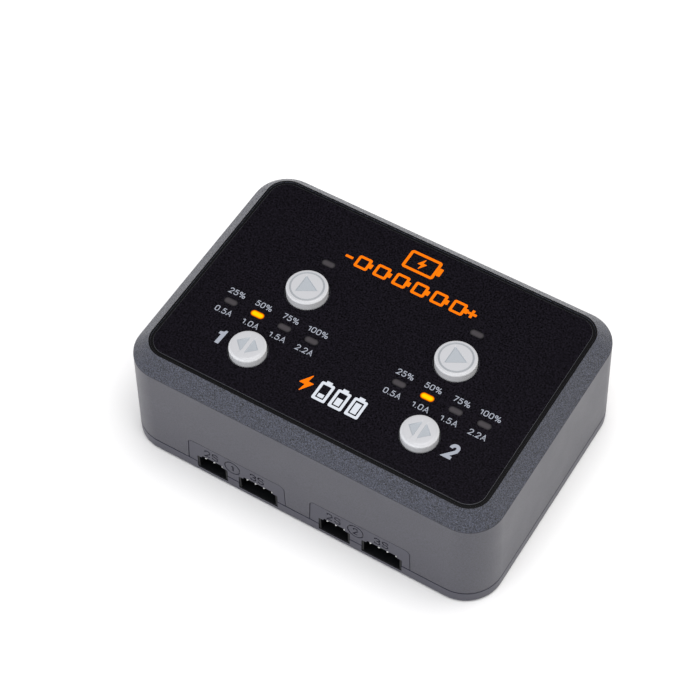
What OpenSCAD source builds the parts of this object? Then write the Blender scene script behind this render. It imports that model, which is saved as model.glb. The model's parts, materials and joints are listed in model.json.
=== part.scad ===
// Two-channel balance battery charger, in millimetres, +Z up.
// The origin is the centre of the footprint, on the plane of the rubber feet.
// +X runs along the long front side, and the balance ports face -Y.

/* [Case] */
// Length of the case at its bottom edge
case_length = 106.6; // [106:0.2:112]
// Depth of the case at its bottom edge
case_depth = 75; // [75:0.2:80]
// Height of the top rim above the plane of the feet
case_height = 36.2; // [36:0.1:40]
// Radius of the upright corners at the bottom edge
corner_radius = 10.3; // [9.5:0.1:11]
// How far each side leans in between the bottom edge and the chamfer
side_draft = 0.86; // [0.4:0.02:1.2]
// Width of the chamfer round the top
chamfer_width = 4; // [3.4:0.1:4.4]
// Height of the chamfer round the top
chamfer_height = 4.2; // [3.4:0.1:4.6]
// Thickness of the side walls
wall = 2; // [1.8:0.1:2.2]
// Thickness of the top panel under the film
panel = 1.95; // [1.5:0.05:2.2]
// Height of the seam between tray and shell above the plane of the feet
seam_height = 4.07; // [3.9:0.01:4.2]
// Thickness of the tray's floor
floor_thickness = 1.6; // [1.4:0.1:1.8]
// How far the rubber feet stand out of the tray
foot_drop = 0.6; // [0.4:0.1:0.8]
// Radius of each rubber foot
foot_radius = 5; // [4.2:0.1:5.4]

/* [Control panel] */
// Radius of the start button caps
start_radius = 5.43; // [5:0.01:5.8]
// Radius of the select button caps
select_radius = 4.8; // [4.4:0.01:5.2]
// How far the caps stand above the rim
button_rise = 2.4; // [1.6:0.1:2.6]
// Travel of the button caps and of the switches under them
button_travel = 0.3; // [0.2:0.05:0.4]
// How far right of the centre line the middle of the panel's layout lies
panel_shift = 0.3; // [0:0.05:0.4]
// Distance of the start buttons from the middle of the layout
start_x = 21.7; // [20.8:0.1:22.2]
// Position of the start buttons from front to back
start_y = 3.2; // [2.4:0.1:3.4]
// Distance of the select buttons from the middle of the layout
select_x = 24.7; // [23.6:0.1:25.2]
// Position of the select buttons from front to back
select_y = -19.9; // [-20.4:0.1:-19.6]
// Spacing of the four level windows
window_pitch = 8; // [7.6:0.1:8.1]
// Position of the level windows from front to back
level_y = -9.25; // [-9.4:0.05:-8.8]
// Distance of the status windows from the middle of the layout
status_x = 21.8; // [20.8:0.1:22.8]
// Position of the status windows from front to back
status_y = 13.65; // [13.2:0.05:13.9]

/* [Balance ports] */
// Spacing of the port pins
pin_pitch = 2.5; // [2.5, 2.54]
// Height of the port openings beside the channel for the plug's rib
port_height = 4.55; // [4.4:0.05:4.6]
// Distance of each pair of ports from the centre line
port_pair_x = 18.3; // [17.8:0.1:18.8]

/* [Hidden] */

$fn = 64;
hull_fn = 40;
cut = 1;
thin = 0.01;
SIDES = [-1, 1];

// Heights of the case, from the plane of the feet.
seam_gap = 0.1;
film_thickness = 0.25;
film_recess = 0.35;
glue_gap = 0.05;
tray_top = seam_height - seam_gap / 2;
shell_bottom = seam_height + seam_gap / 2;
wall_top = case_height - chamfer_height;
panel_top = case_height - film_recess;
panel_bottom = panel_top - panel;
floor_top = foot_drop + floor_thickness;

// Plan of the rim, the film and the corner towers.
rim_radius = 6;
rim_inside_radius = 5.2;
rim_half_x = case_length / 2 - side_draft - chamfer_width;
rim_half_y = case_depth / 2 - side_draft - chamfer_width;
recess_inset = 0.45;
film_inset = 1.15;
tower_x = case_length / 2 - 8.8;
tower_y = case_depth / 2 - 9;
tower_radius = 3.2;
post_root = 0.4;

// Rubber feet, in shallow recesses of the tray.
foot_recess = 0.6;
foot_chamfer = 0.4;
foot_clearance = 0.1;

// Case screws, driven up from under the feet.
screw_radius = 1.25;
screw_bore = 1.3;
screw_hole = 1.4;
screw_head = 2.3;
screw_head_height = 1.5;
screw_head_bore = 2.6;
screw_slot = [2.6, 0.9];
screw_seat_z = 3;
screw_tip_z = 15;
tray_boss_top = 5;
tray_boss_radius = 4.2;

// Boards, by their thickness and the height of their lower faces.
board = 1.6;
control_z = 24.4;
control_top = control_z + board;
control_half_x = 41;
control_front = -27;
control_back = 16;
main_z = 7.15;
main_top = main_z + board;
main_half_x = case_length / 2 - 4.8;
main_half_y = case_depth / 2 - 4.3;
main_notch_radius = 4.7;
seat = 0.03;
sheet = 0.25;
sheet_z = 5.4;
sheet_front = -23.5;
sheet_side = 2;
sheet_notch = [6.6, 8];

// Button caps, their guides and the switches under them.
cap_top = case_height + button_rise;
cap_clearance = 0.1;
collar_wall = 1.6;
collar_depth = 1.5;
collar_bottom = panel_bottom - collar_depth;
flange_width = 0.9;
flange_height = 1;
flange_top = collar_bottom - 0.05;
stem_radius = 1.6;
switch_size = 6;
switch_top = control_top + 3.5;
plunger_radius = 1.75;
plunger_top = switch_top + 0.8;
plunger_clearance = 0.05;
switch_well = 1.2;
switch_rest_gap = 0.2;
key_width = 1.2;
key_reach = 0.7;
key_height = 1.3;
key_clearance = 0.15;
cap_edge = 0.8;
icon_depth = 0.15;
ring_width = 0.3;
start_ring = 4.45;
select_ring = 3.9;
start_arrow = [4.7, 2.7];
start_arrow_x = -1.76;
select_arrow = [2.4, 2.3];
select_arrow_x = 0.63;
BUTTONS = [
    for (side = SIDES) [panel_x(side * start_x), start_y, start_radius],
    for (side = SIDES) [panel_x(side * select_x), select_y, select_radius]
];
film_clearance = 0.3;

// Light guides and lamps.
window_count = 4;
window_length = 3.6;
window_width = 1.7;
window_clearance = 0.15;
guide_bottom = control_top + 1;
guide_bar = 1.6;
guide_end = 0.5;
status_guide_end = 1;
guide_recess = 0.05;
led_size = [2, 1.25, 0.8];

// Balance ports: a socket of pins hung under the main board. Its nose fills the opening
// in the front wall, and its wider body stands behind the wall. A channel along the top
// lets in the rib of a balance plug.
port_bottom = 2.08;
port_margin = 3.9;
port_rib_height = 0.85;
port_rib_margin = 1.3;
port_gap = 0.05;
nose_floor = 0.3;
nose_wall = 0.5;
nose_front = -case_depth / 2 + 0.25;
port_floor = 0.68;
port_side = 0.35;
port_depth = 7.4;
port_back = 1.2;
port_pin_z = 5.75;
port_pin = 0.64;
port_pin_recess = 1.05;
port_tail_y = -case_depth / 2 + 10;
port_tail_rise = 1.2;
port_offsets = [-7.55, 6.3];
port_outer_z = port_bottom - port_floor;
port_outer_height = main_z - 0.05 - port_outer_z;
port_front = -case_depth / 2 + 1.1;
pin_hole_radius = 0.5;
PORTS = [
    for (side = SIDES)
        for (i = [0, 1])
            [side * port_pair_x + port_offsets[i], i + 3]
];

// Mains inlet at the back, with its two round pins.
inlet_x = -27;
inlet_width = 20;
inlet_height = 12.75;
inlet_length = 21;
inlet_front = case_depth / 2 - 0.7;
inlet_z = main_top + inlet_height / 2;
inlet_lobe = 4.2;
inlet_lobe_x = 4;
inlet_waist = 6.6;
inlet_depth = 13.5;
inlet_pin = 1.2;
inlet_pin_x = 4.3;
inlet_pin_recess = 2.5;
inlet_gap = 0.15;
inlet_tail = [1.6, 0.8];
inlet_tail_y = inlet_front - inlet_length - 1.2;
inlet_hole = [2.2, 1.2];
inlet_sill_setback = 0.3;

// Posts of the tray under the main board, and of the shell over the control board.
MAIN_POSTS = [[-42, -16], [45, 0], [-13, 23.5], [38, 27], [37, -24]];
CONTROL_POSTS = [[-37.5, 14.5], [37.5, 14.5], [-37.5, -22.5], [37.5, -22.5]];
main_post = 2.7;
control_post = 2.5;
board_screw = 1.1;
board_screw_bore = 1.15;
board_screw_head = [2, 1.3];
board_screw_lengths = [4.5, 5];
board_hole = 1.25;
post_bore = 6;

// Vent slots in the tray's floor.
vent_count = 6;
vent_pitch = 4;
vent_size = [20, 1.8];
vent_at = [20, 2];

// Ribs of the tray inside the shell's walls.
rib = 1.2;
rib_gap = 0.15;
rib_top = 5.6;
side_rib = 30;
back_rib = 34;
back_rib_x = 20;

// Plug and socket that join the two boards.
link_pins = 8;
link_pitch = 2.54;
link_y = -16.5;
link_width = 2.5;
link_low = main_top + 1;
link_pin_low = main_top + 1.4;
link_pin_top = control_z - 1;
link_socket_top = main_top + 8.5;
link_hole = 0.84;

// Parts on the two boards, as [x, y] of their middles and [length, depth, height].
chip_at = [0, -2];
chip_size = [10, 10, 1.4];
fuse_at = [-43.5, 10];
fuse_size = [4.2, 7.7];
line_capacitor_at = [-40.5, -1];
line_capacitor_size = [13, 6, 12];
rectifier_at = [-6, 30];
rectifier_size = [14.2, 3.6, 10.6];
rectifier_rise = 1;
bulk_capacitor_at = [10.5, 26.3];
bulk_capacitor_size = [6.5, 22];
OUTPUT_CAPACITORS = [[21.5, 28.5], [30.5, 28.5], [43.5, 11.5]];
output_capacitor_size = [3.9, 14];
INDUCTORS = [[23, -12], [39, -12]];
inductor_size = [12, 12, 6];
CHANNEL_CHIPS = [[24, 2], [36, 2]];
channel_chip_size = [7, 7, 1.2];
optocoupler_at = [17, 9];
optocoupler_size = [6.5, 4.6, 3.5];
resistor_count = 8;
resistor_pitch = 8;
resistor_y = -21.5;
resistor_size = [6.4, 3.2, 0.6];

// Line choke: a ring core and its two windings.
choke_at = [-24, 3.5];
choke_low = main_top + 1.4;
choke_ring = [5, 9];
choke_height = 6;
choke_split = [7, 24];
wire_layer = 0.9;

// Power devices and the heatsinks they are clamped to.
heatsink_y = 17.4;
heatsink_thickness = 1.6;
heatsink_foot = 4;
heatsink_height = 20;
transistor_heatsink_at = [2, 28];
diode_heatsink_at = [26, 18];
transistor_x = -3;
diode_x = 26;
device_tab = [10, 1.3, 15.6];
device_body = [10, 4.5, 9.2];
device_lead = [0.9, 0.6, 4.2];
device_lead_y = 2.4;
device_rise = 4;
device_hole = [1.8, 12.6];

// Transformer: an E-shaped core lying flat, its coil and the bobbin's feet.
transformer_at = [1, 0];
core_size = [22, 20, 6];
core_low = 13.2;
core_leg = 6;
core_window = 5.2;
core_yoke = 2.6;
coil_gap = 0.2;
coil_depth = core_size[1] - 2 * core_yoke - coil_gap;
coil_layer = 2.2;
bobbin_base = [18, 26, 1.9];
bobbin_end = [18, 2.6, 4];

function panel_x(x) = x + panel_shift;

function wall_half(z) = [
    case_length / 2 - side_draft * (z - foot_drop) / (wall_top - foot_drop),
    case_depth / 2 - side_draft * (z - foot_drop) / (wall_top - foot_drop)
];

function wall_radius(z) = corner_radius - side_draft * (z - foot_drop) / (wall_top - foot_drop);

function window_x(i) = window_pitch * (i - (window_count - 1) / 2);

function port_width(pins) = pin_pitch * (pins - 1) + port_margin;
function port_rib(pins) = pin_pitch * (pins - 1) + port_rib_margin;

// The four round corners of a rounded box. Thin ones carry one level of a tapering box.
module corner_rounds(half, radius, z, height = thin) {
    for (sx = SIDES, sy = SIDES)
        translate([sx * (half[0] - radius), sy * (half[1] - radius), z])
            cylinder(r = radius, h = height, $fn = hull_fn);
}

module wall_rounds(z, inset) {
    corner_rounds(wall_half(z) - [inset, inset], wall_radius(z) - inset, z);
}

// The drafted sides between two heights.
module drafted_block(low, high, inset) {
    hull() {
        wall_rounds(low, inset);
        wall_rounds(high - thin, inset);
    }
}

// The whole outside of the shell: drafted sides and the chamfer above them.
module shell_outside() {
    hull() {
        wall_rounds(shell_bottom, 0);
        wall_rounds(wall_top, 0);
        corner_rounds([rim_half_x, rim_half_y], rim_radius, case_height - thin);
    }
}

module shell_inside() {
    slope = chamfer_width / chamfer_height;
    lean = wall * sqrt(1 + slope * slope);
    top_inset = lean - slope * (case_height - panel_bottom);
    hull() {
        wall_rounds(shell_bottom - cut, wall);
        wall_rounds(wall_top - (lean - wall) / slope, wall);
        corner_rounds(
            [rim_half_x - top_inset, rim_half_y - top_inset],
            rim_inside_radius,
            panel_bottom - thin
        );
    }
}

// A rounded plate that follows the rim's outline, set in from it.
module rim_plate(inset, low, height) {
    hull()
        corner_rounds(
            [rim_half_x - inset, rim_half_y - inset],
            rim_radius - inset,
            low,
            height
        );
}

module at_corners(x, y, z) {
    for (sx = SIDES, sy = SIDES)
        translate([sx * x, sy * y, z])
            children();
}

module at_points(points, z) {
    for (point = points)
        translate([point[0], point[1], z])
            children();
}

module block(x, y, z, size) {
    translate([x - size[0] / 2, y - size[1] / 2, z])
        cube(size);
}

// Cuts for the balance ports, used by the shell and by the tray.
module port_cuts() {
    for (port = PORTS) {
        nose = port_width(port[1]) + 2 * port_gap;
        rib = port_rib(port[1]);
        body = port_width(port[1]) + 2 * port_side + 4 * port_gap;
        translate([port[0] - nose / 2, -case_depth / 2 - cut, port_bottom - nose_floor - port_gap])
            cube([nose, wall + cut, port_height + nose_floor + port_gap]);
        translate([port[0] - rib / 2, -case_depth / 2 - cut, port_bottom])
            cube([rib, wall + cut, port_height + port_rib_height]);
        translate([port[0] - body / 2, port_front - port_gap, port_outer_z - 2 * port_gap])
            cube([body, port_depth + cut, port_outer_height + 4 * port_gap]);
    }
}

module top_shell() {
    color([0.23, 0.235, 0.245])
    difference() {
        union() {
            difference() {
                shell_outside();
                shell_inside();
            }
            at_corners(tower_x, tower_y, tray_boss_top + seam_gap)
                cylinder(r = tower_radius, h = panel_bottom + post_root - tray_boss_top - seam_gap);
            at_points(CONTROL_POSTS, control_top + seat)
                cylinder(r = control_post, h = panel_bottom + post_root - control_top - seat);
            for (button = BUTTONS)
                translate([button[0], button[1], collar_bottom])
                    cylinder(r = button[2] + collar_wall, h = collar_depth + post_root);
        }
        rim_plate(recess_inset, panel_top, film_recess + cut);
        for (button = BUTTONS) {
            translate([button[0], button[1], collar_bottom - cut])
                cylinder(r = button[2] + cap_clearance, h = panel_top - collar_bottom + 2 * cut);
            translate([button[0] - key_width / 2 - key_clearance, button[1], collar_bottom - cut])
                cube([
                    key_width + 2 * key_clearance,
                    button[2] + key_reach + key_clearance,
                    collar_depth + cut
                ]);
        }
        for (side = SIDES) {
            for (i = [0 : window_count - 1])
                light_hole(panel_x(side * select_x) + window_x(i), level_y);
            light_hole(panel_x(side * status_x), status_y);
        }
        at_corners(tower_x, tower_y, tray_boss_top)
            cylinder(r = screw_bore, h = screw_tip_z + cut - tray_boss_top);
        at_points(CONTROL_POSTS, control_top)
            cylinder(r = board_screw_bore, h = post_bore);
        port_cuts();
        translate([
            inlet_x - inlet_width / 2 - inlet_gap,
            case_depth / 2 - 2 * wall - cut,
            shell_bottom - cut
        ])
            cube([
                inlet_width + 2 * inlet_gap,
                2 * wall + 2 * cut,
                main_top + inlet_height + inlet_gap - shell_bottom + cut
            ]);
    }
}

module light_hole(x, y) {
    block(x, y, panel_bottom - cut, [
        window_length + 2 * window_clearance,
        window_width + 2 * window_clearance,
        panel + 2 * cut
    ]);
}

module base_tray() {
    color([0.22, 0.225, 0.235])
    difference() {
        union() {
            difference() {
                drafted_block(foot_drop, tray_top, 0);
                drafted_block(floor_top, tray_top + cut, wall);
            }
            at_corners(tower_x, tower_y, foot_drop)
                cylinder(r = tray_boss_radius, h = tray_boss_top - foot_drop);
            at_points(MAIN_POSTS, floor_top - thin)
                cylinder(r = main_post, h = main_z - seat - floor_top + thin);
            locating_ribs();
            inlet_sill();
        }
        at_corners(tower_x, tower_y, foot_drop - cut)
            cylinder(r = foot_radius + foot_clearance, h = foot_recess + cut);
        at_corners(tower_x, tower_y, 0)
            cylinder(r = screw_head_bore, h = screw_seat_z);
        at_corners(tower_x, tower_y, 0)
            cylinder(r = screw_hole, h = tray_boss_top + cut);
        at_points(MAIN_POSTS, floor_top + post_root)
            cylinder(r = board_screw_bore, h = main_z);
        port_cuts();
        vent_slots();
    }
}

// Ribs on the tray that stand just inside the shell's side walls.
module locating_ribs() {
    inset = wall + rib_gap + rib / 2;
    low = floor_top - thin;
    for (side = SIDES)
        block(side * (wall_half(shell_bottom)[0] - inset), 0, low, [rib, side_rib, rib_top - low]);
    block(back_rib_x, wall_half(shell_bottom)[1] - inset, low, [back_rib, rib, rib_top - low]);
}

// The part of the back wall that closes the shell's slot below the mains inlet.
module inlet_sill() {
    translate([
        inlet_x - inlet_width / 2 + seat,
        case_depth / 2 - inlet_sill_setback - wall,
        floor_top - thin
    ])
        cube([inlet_width - 2 * seat, wall, main_top - inlet_gap - floor_top + thin]);
}

module vent_slots() {
    for (side = SIDES, i = [0 : vent_count - 1])
        block(
            side * vent_at[0],
            vent_at[1] + vent_pitch * (i - (vent_count - 1) / 2),
            foot_drop - cut,
            [vent_size[0], vent_size[1], floor_thickness + 2 * cut]
        );
}

module overlay_film() {
    film_low = panel_top + glue_gap;
    color([0.05, 0.05, 0.055])
    difference() {
        rim_plate(film_inset, film_low, film_thickness);
        for (button = BUTTONS)
            translate([button[0], button[1], film_low - cut])
                cylinder(r = button[2] + film_clearance, h = film_thickness + 2 * cut);
    }
}

module rubber_feet() {
    color([0.08, 0.08, 0.08])
    at_corners(tower_x, tower_y, 0)
        rotate_extrude()
            polygon([
                [0, 0],
                [foot_radius - foot_chamfer, 0],
                [foot_radius, foot_chamfer],
                [foot_radius, foot_drop + foot_recess - seat],
                [0, foot_drop + foot_recess - seat]
            ]);
}

// A round-headed screw with its head's seat at the origin and its tip at +Z.
module screw(head_radius, head_height, radius, length) {
    translate([0, 0, -head_height])
        cylinder(r = head_radius, h = head_height);
    translate([0, 0, -thin])
        cylinder(r = radius, h = length + thin);
    translate([0, 0, length - thin])
        cylinder(r1 = radius, r2 = radius / 3, h = radius);
}

// Cross-shaped slot that a screwdriver turns, cut upwards from the head's face.
module drive_slot(size, depth) {
    for (turn = [0, 90])
        rotate([0, 0, turn])
            translate([-size / 2, -size / 8, -cut])
                cube([size, size / 4, depth + cut]);
}

module case_screws() {
    color([0.7, 0.7, 0.72])
    at_corners(tower_x, tower_y, screw_seat_z - seat)
        difference() {
            screw(
                screw_head,
                screw_head_height,
                screw_radius,
                screw_tip_z - screw_seat_z - screw_radius
            );
            translate([0, 0, -screw_head_height])
                drive_slot(screw_slot[0], screw_slot[1]);
        }
}

// A cap, its guide skirt, the flange that keeps it in, and the stem on the switch.
module button_body(radius, groove) {
    flange = radius + flange_width;
    rotate_extrude()
        polygon([
            [0, plunger_top + seat],
            [stem_radius, plunger_top + seat],
            [stem_radius, flange_top - flange_height],
            [flange, flange_top - flange_height],
            [flange, flange_top],
            [radius, flange_top],
            [radius, cap_top - cap_edge],
            [radius - 0.3 * cap_edge, cap_top - 0.3 * cap_edge],
            [radius - cap_edge, cap_top],
            [groove + ring_width / 2, cap_top],
            [groove, cap_top - icon_depth],
            [groove - ring_width / 2, cap_top],
            [0, cap_top]
        ]);
    translate([-key_width / 2, 0, flange_top - thin])
        cube([key_width, radius + key_reach, key_height]);
}

// A triangle that points along +X, with its base at x, sunk into the top of a cap.
module arrow(x, size) {
    translate([x, 0, cap_top - icon_depth])
        linear_extrude(2 * icon_depth)
            polygon([[0, -size[1]], [size[0], 0], [0, size[1]]]);
}

module start_button(side) {
    color([0.86, 0.87, 0.88])
    translate([panel_x(side * start_x), start_y, 0])
        difference() {
            button_body(start_radius, start_ring);
            arrow(start_arrow_x, start_arrow);
        }
}

module select_button(side) {
    color([0.86, 0.87, 0.88])
    translate([panel_x(side * select_x), select_y, 0])
        difference() {
            button_body(select_radius, select_ring);
            for (turn = [0, 180])
                rotate([0, 0, turn])
                    arrow(select_arrow_x, select_arrow);
        }
}

module light_post(x, y) {
    block(x, y, guide_bottom, [
        window_length,
        window_width,
        panel_top - guide_recess - guide_bottom
    ]);
}

module level_light_guide(side) {
    color([0.9, 0.9, 0.88])
    union() {
        for (i = [0 : window_count - 1])
            light_post(panel_x(side * select_x) + window_x(i), level_y);
        block(panel_x(side * select_x), level_y, panel_bottom - seat - guide_bar, [
            window_pitch * (window_count - 1) + window_length + 2 * guide_end,
            2 * window_width,
            guide_bar
        ]);
    }
}

module status_light_guide(side) {
    color([0.9, 0.9, 0.88])
    union() {
        light_post(panel_x(side * status_x), status_y);
        block(panel_x(side * status_x), status_y, panel_bottom - seat - guide_bar, [
            window_length + 2 * status_guide_end,
            2 * window_width,
            guide_bar
        ]);
    }
}

module control_board() {
    color([0.1, 0.35, 0.2])
    difference() {
        translate([-control_half_x, control_front, control_z])
            cube([2 * control_half_x, control_back - control_front, board]);
        at_points(CONTROL_POSTS, control_z - cut)
            cylinder(r = board_hole, h = board + 2 * cut);
    }
}

module control_board_screws() {
    color([0.7, 0.7, 0.72])
    at_points(CONTROL_POSTS, control_z - seat)
        screw(board_screw_head[0], board_screw_head[1], board_screw, board_screw_lengths[1]);
}

module control_chip() {
    color([0.12, 0.12, 0.13])
        block(chip_at[0], chip_at[1], control_top + seat, chip_size);
}

module level_leds() {
    color([1, 0.62, 0.15])
    for (side = SIDES, i = [0 : window_count - 1])
        block(panel_x(side * select_x) + window_x(i), level_y, control_top + seat, led_size);
}

module status_leds() {
    color([0.95, 0.95, 0.9])
    for (side = SIDES)
        block(panel_x(side * status_x), status_y, control_top + seat, led_size);
}

module switch_body(button) {
    color([0.15, 0.15, 0.16])
    translate([button[0], button[1], 0])
        difference() {
            block(0, 0, control_top + seat, [switch_size, switch_size, switch_top - control_top - seat]);
            translate([0, 0, switch_top - switch_well])
                cylinder(r = plunger_radius + plunger_clearance, h = switch_well + cut);
        }
}

module switch_plunger(button) {
    low = switch_top - switch_well + button_travel + switch_rest_gap;
    color([0.3, 0.3, 0.32])
    translate([button[0], button[1], low])
        cylinder(r = plunger_radius, h = plunger_top - low);
}

function link_x(i) = link_pitch * (i - (link_pins - 1) / 2);

module board_link_pins() {
    color([0.85, 0.7, 0.3])
    union() {
        block(0, link_y, control_z - seat - link_width, [
            link_pins * link_pitch,
            link_width,
            link_width
        ]);
        for (i = [0 : link_pins - 1])
            block(link_x(i), link_y, link_pin_low, [port_pin, port_pin, link_pin_top - link_pin_low]);
    }
}

module board_link_socket() {
    color([0.12, 0.12, 0.13])
    difference() {
        block(0, link_y, main_top + seat, [
            link_pins * link_pitch,
            link_width,
            link_socket_top - main_top - seat
        ]);
        for (i = [0 : link_pins - 1])
            block(link_x(i), link_y, link_low, [link_hole, link_hole, link_socket_top]);
    }
}

module main_board() {
    color([0.1, 0.35, 0.2])
    difference() {
        block(0, 0, main_z, [2 * main_half_x, 2 * main_half_y, board]);
        at_corners(tower_x, tower_y, main_z - cut)
            cylinder(r = tower_radius + 0.5, h = board + 2 * cut);
        at_corners(main_half_x + 0.5, main_half_y + 0.5, main_z - cut)
            cylinder(r = main_notch_radius, h = board + 2 * cut);
        at_points(MAIN_POSTS, main_z - cut)
            cylinder(r = board_hole, h = board + 2 * cut);
        for (port = PORTS, i = [0 : port[1] - 1])
            translate([pin_x(port, i), port_tail_y, main_z - cut])
                cylinder(r = pin_hole_radius, h = board + 2 * cut, $fn = 32);
        for (side = SIDES)
            block(inlet_x + side * inlet_pin_x, inlet_tail_y, main_z - cut, [
                inlet_hole[0],
                inlet_hole[1],
                board + 2 * cut
            ]);
    }
}

module main_board_screws() {
    color([0.7, 0.7, 0.72])
    at_points(MAIN_POSTS, main_top + seat)
        mirror([0, 0, 1])
            screw(board_screw_head[0], board_screw_head[1], board_screw, board_screw_lengths[0]);
}

module insulating_sheet() {
    sheet_back = main_half_y - 0.6;
    color([0.85, 0.85, 0.8])
    difference() {
        translate([-main_half_x + sheet_side, sheet_front, sheet_z])
            cube([2 * (main_half_x - sheet_side), sheet_back - sheet_front, sheet]);
        at_corners(tower_x, tower_y, sheet_z - cut)
            cylinder(r = tray_boss_radius + 0.6, h = sheet + 2 * cut);
        at_points(MAIN_POSTS, sheet_z - cut)
            cylinder(r = main_post + 0.3, h = sheet + 2 * cut);
        for (side = SIDES)
            block(
                side * (case_length - sheet_notch[0]) / 2,
                main_half_y - (sheet_notch[1] - cut) / 2,
                sheet_z - cut,
                [sheet_notch[0], sheet_notch[1] + cut, sheet + 2 * cut]
            );
    }
}

function pin_x(port, i) = port[0] + pin_pitch * (i - (port[1] - 1) / 2);

module port_housing(port) {
    nose = port_width(port[1]);
    body = nose + 2 * port_side;
    cavity = nose - 2 * nose_wall;
    rib = port_rib(port[1]);
    color([0.07, 0.07, 0.075])
    difference() {
        union() {
            translate([port[0] - body / 2, port_front, port_outer_z])
                cube([body, port_depth, port_outer_height]);
            translate([port[0] - nose / 2, nose_front, port_bottom - nose_floor])
                cube([nose, port_front + cut - nose_front, port_height + nose_floor - port_gap]);
        }
        translate([port[0], port_front + port_depth - port_back, port_bottom])
            mirror([0, 1, 0]) {
                translate([-cavity / 2, 0, 0])
                    cube([cavity, port_depth + cut, port_height]);
                translate([-rib / 2, 0, 0])
                    cube([rib, port_depth + cut, port_outer_height]);
            }
        for (i = [0 : port[1] - 1])
            block(
                pin_x(port, i),
                port_front + (port_depth + cut) / 2,
                port_pin_z - port_pin / 2 - seat,
                [port_pin + 2 * seat, port_depth + cut, port_pin + 2 * seat]
            );
    }
}

module port_pins(port) {
    tip_y = -case_depth / 2 + port_pin_recess;
    tail_top = main_top + port_tail_rise;
    color([0.8, 0.8, 0.78])
    for (i = [0 : port[1] - 1])
        union() {
            translate([pin_x(port, i) - port_pin / 2, tip_y, port_pin_z - port_pin / 2])
                cube([port_pin, port_tail_y + port_pin / 2 - tip_y, port_pin]);
            translate([
                pin_x(port, i) - port_pin / 2,
                port_tail_y - port_pin / 2,
                port_pin_z - port_pin / 2
            ])
                cube([port_pin, port_pin, tail_top - port_pin_z]);
        }
}

module mains_inlet() {
    color([0.1, 0.1, 0.105])
    difference() {
        translate([inlet_x - inlet_width / 2, inlet_front - inlet_length, main_top + seat])
            cube([inlet_width, inlet_length, inlet_height - seat]);
        for (side = SIDES)
            translate([inlet_x + side * inlet_lobe_x, inlet_front + cut, inlet_z])
                rotate([90, 0, 0])
                    cylinder(r = inlet_lobe, h = inlet_depth + cut);
        translate([inlet_x - inlet_lobe_x, inlet_front - inlet_depth, inlet_z - inlet_waist / 2])
            cube([2 * inlet_lobe_x, inlet_depth + cut, inlet_waist]);
        for (side = SIDES)
            translate([inlet_x + side * inlet_pin_x, inlet_front, inlet_z])
                rotate([90, 0, 0])
                    cylinder(r = inlet_pin + seat, h = inlet_length + cut);
    }
}

module mains_inlet_pins() {
    back = inlet_front - inlet_length - 0.8;
    color([0.8, 0.8, 0.8])
    for (side = SIDES)
        translate([inlet_x + side * inlet_pin_x, 0, 0])
            union() {
                translate([0, inlet_front - inlet_pin_recess, inlet_z])
                    rotate([90, 0, 0])
                        cylinder(r = inlet_pin, h = inlet_front - inlet_pin_recess - back);
                block(0, inlet_tail_y, main_z - cut, [
                    inlet_tail[0],
                    inlet_tail[1],
                    inlet_z - main_z + cut
                ]);
            }
}

// A box on the main board, and an upright cylinder given as [radius, height].
module place(at, size, rise = seat) {
    block(at[0], at[1], main_top + rise, size);
}

module stand(at, size) {
    translate([at[0], at[1], main_top + seat])
        cylinder(r = size[0], h = size[1]);
}

module fuse() {
    color([0.35, 0.2, 0.12])
        stand(fuse_at, fuse_size);
}

module line_capacitor() {
    color([0.95, 0.8, 0.15])
        place(line_capacitor_at, line_capacitor_size);
}

// A ring of rectangular section that stands on its flat side.
module ring(inner, outer, low, height) {
    translate([0, 0, low])
        rotate_extrude()
            translate([inner, 0])
                square([outer - inner, height]);
}

module choke_core() {
    color([0.25, 0.3, 0.26])
    translate(choke_at)
        ring(choke_ring[0], choke_ring[1], choke_low, choke_height);
}

module choke_windings() {
    color([0.72, 0.4, 0.18])
    translate(choke_at)
        difference() {
            ring(
                choke_ring[0] - wire_layer,
                choke_ring[1] + wire_layer,
                choke_low - wire_layer,
                choke_height + 2 * wire_layer
            );
            ring(
                choke_ring[0] - seat,
                choke_ring[1] + seat,
                choke_low - seat,
                choke_height + 2 * seat
            );
            block(0, 0, choke_low - 2 * cut, [
                choke_split[0],
                choke_split[1],
                choke_height + 4 * cut
            ]);
        }
}

module bridge_rectifier() {
    color([0.1, 0.1, 0.1])
        place(rectifier_at, rectifier_size, rectifier_rise);
}

module bulk_capacitor() {
    color([0.13, 0.15, 0.3])
        stand(bulk_capacitor_at, bulk_capacitor_size);
}

// An upright plate with a foot, given as [middle, length].
module heatsink(along) {
    color([0.75, 0.76, 0.78])
    union() {
        place([along[0], heatsink_y], [along[1], heatsink_thickness, heatsink_height]);
        place(
            [along[0], heatsink_y - heatsink_foot / 2],
            [along[1], heatsink_foot, heatsink_thickness]
        );
    }
}

// A three-lead power device clamped flat against its heatsink.
module power_device(x) {
    face_y = heatsink_y + heatsink_thickness / 2 + seat;
    low = main_top + device_rise;
    color([0.13, 0.13, 0.14])
    difference() {
        union() {
            block(x, face_y + device_tab[1] / 2, low, device_tab);
            block(x, face_y + device_body[1] / 2, low, device_body);
            for (i = [-1 : 1])
                place([x + i * link_pitch, face_y + device_lead_y], device_lead);
        }
        translate([x, face_y - cut, low + device_hole[1]])
            rotate([-90, 0, 0])
                cylinder(r = device_hole[0], h = device_tab[1] + 2 * cut);
    }
}

module transistor_heatsink() {
    heatsink(transistor_heatsink_at);
}

module power_transistor() {
    power_device(transistor_x);
}

module diode_heatsink() {
    heatsink(diode_heatsink_at);
}

module output_diode() {
    power_device(diode_x);
}

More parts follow.
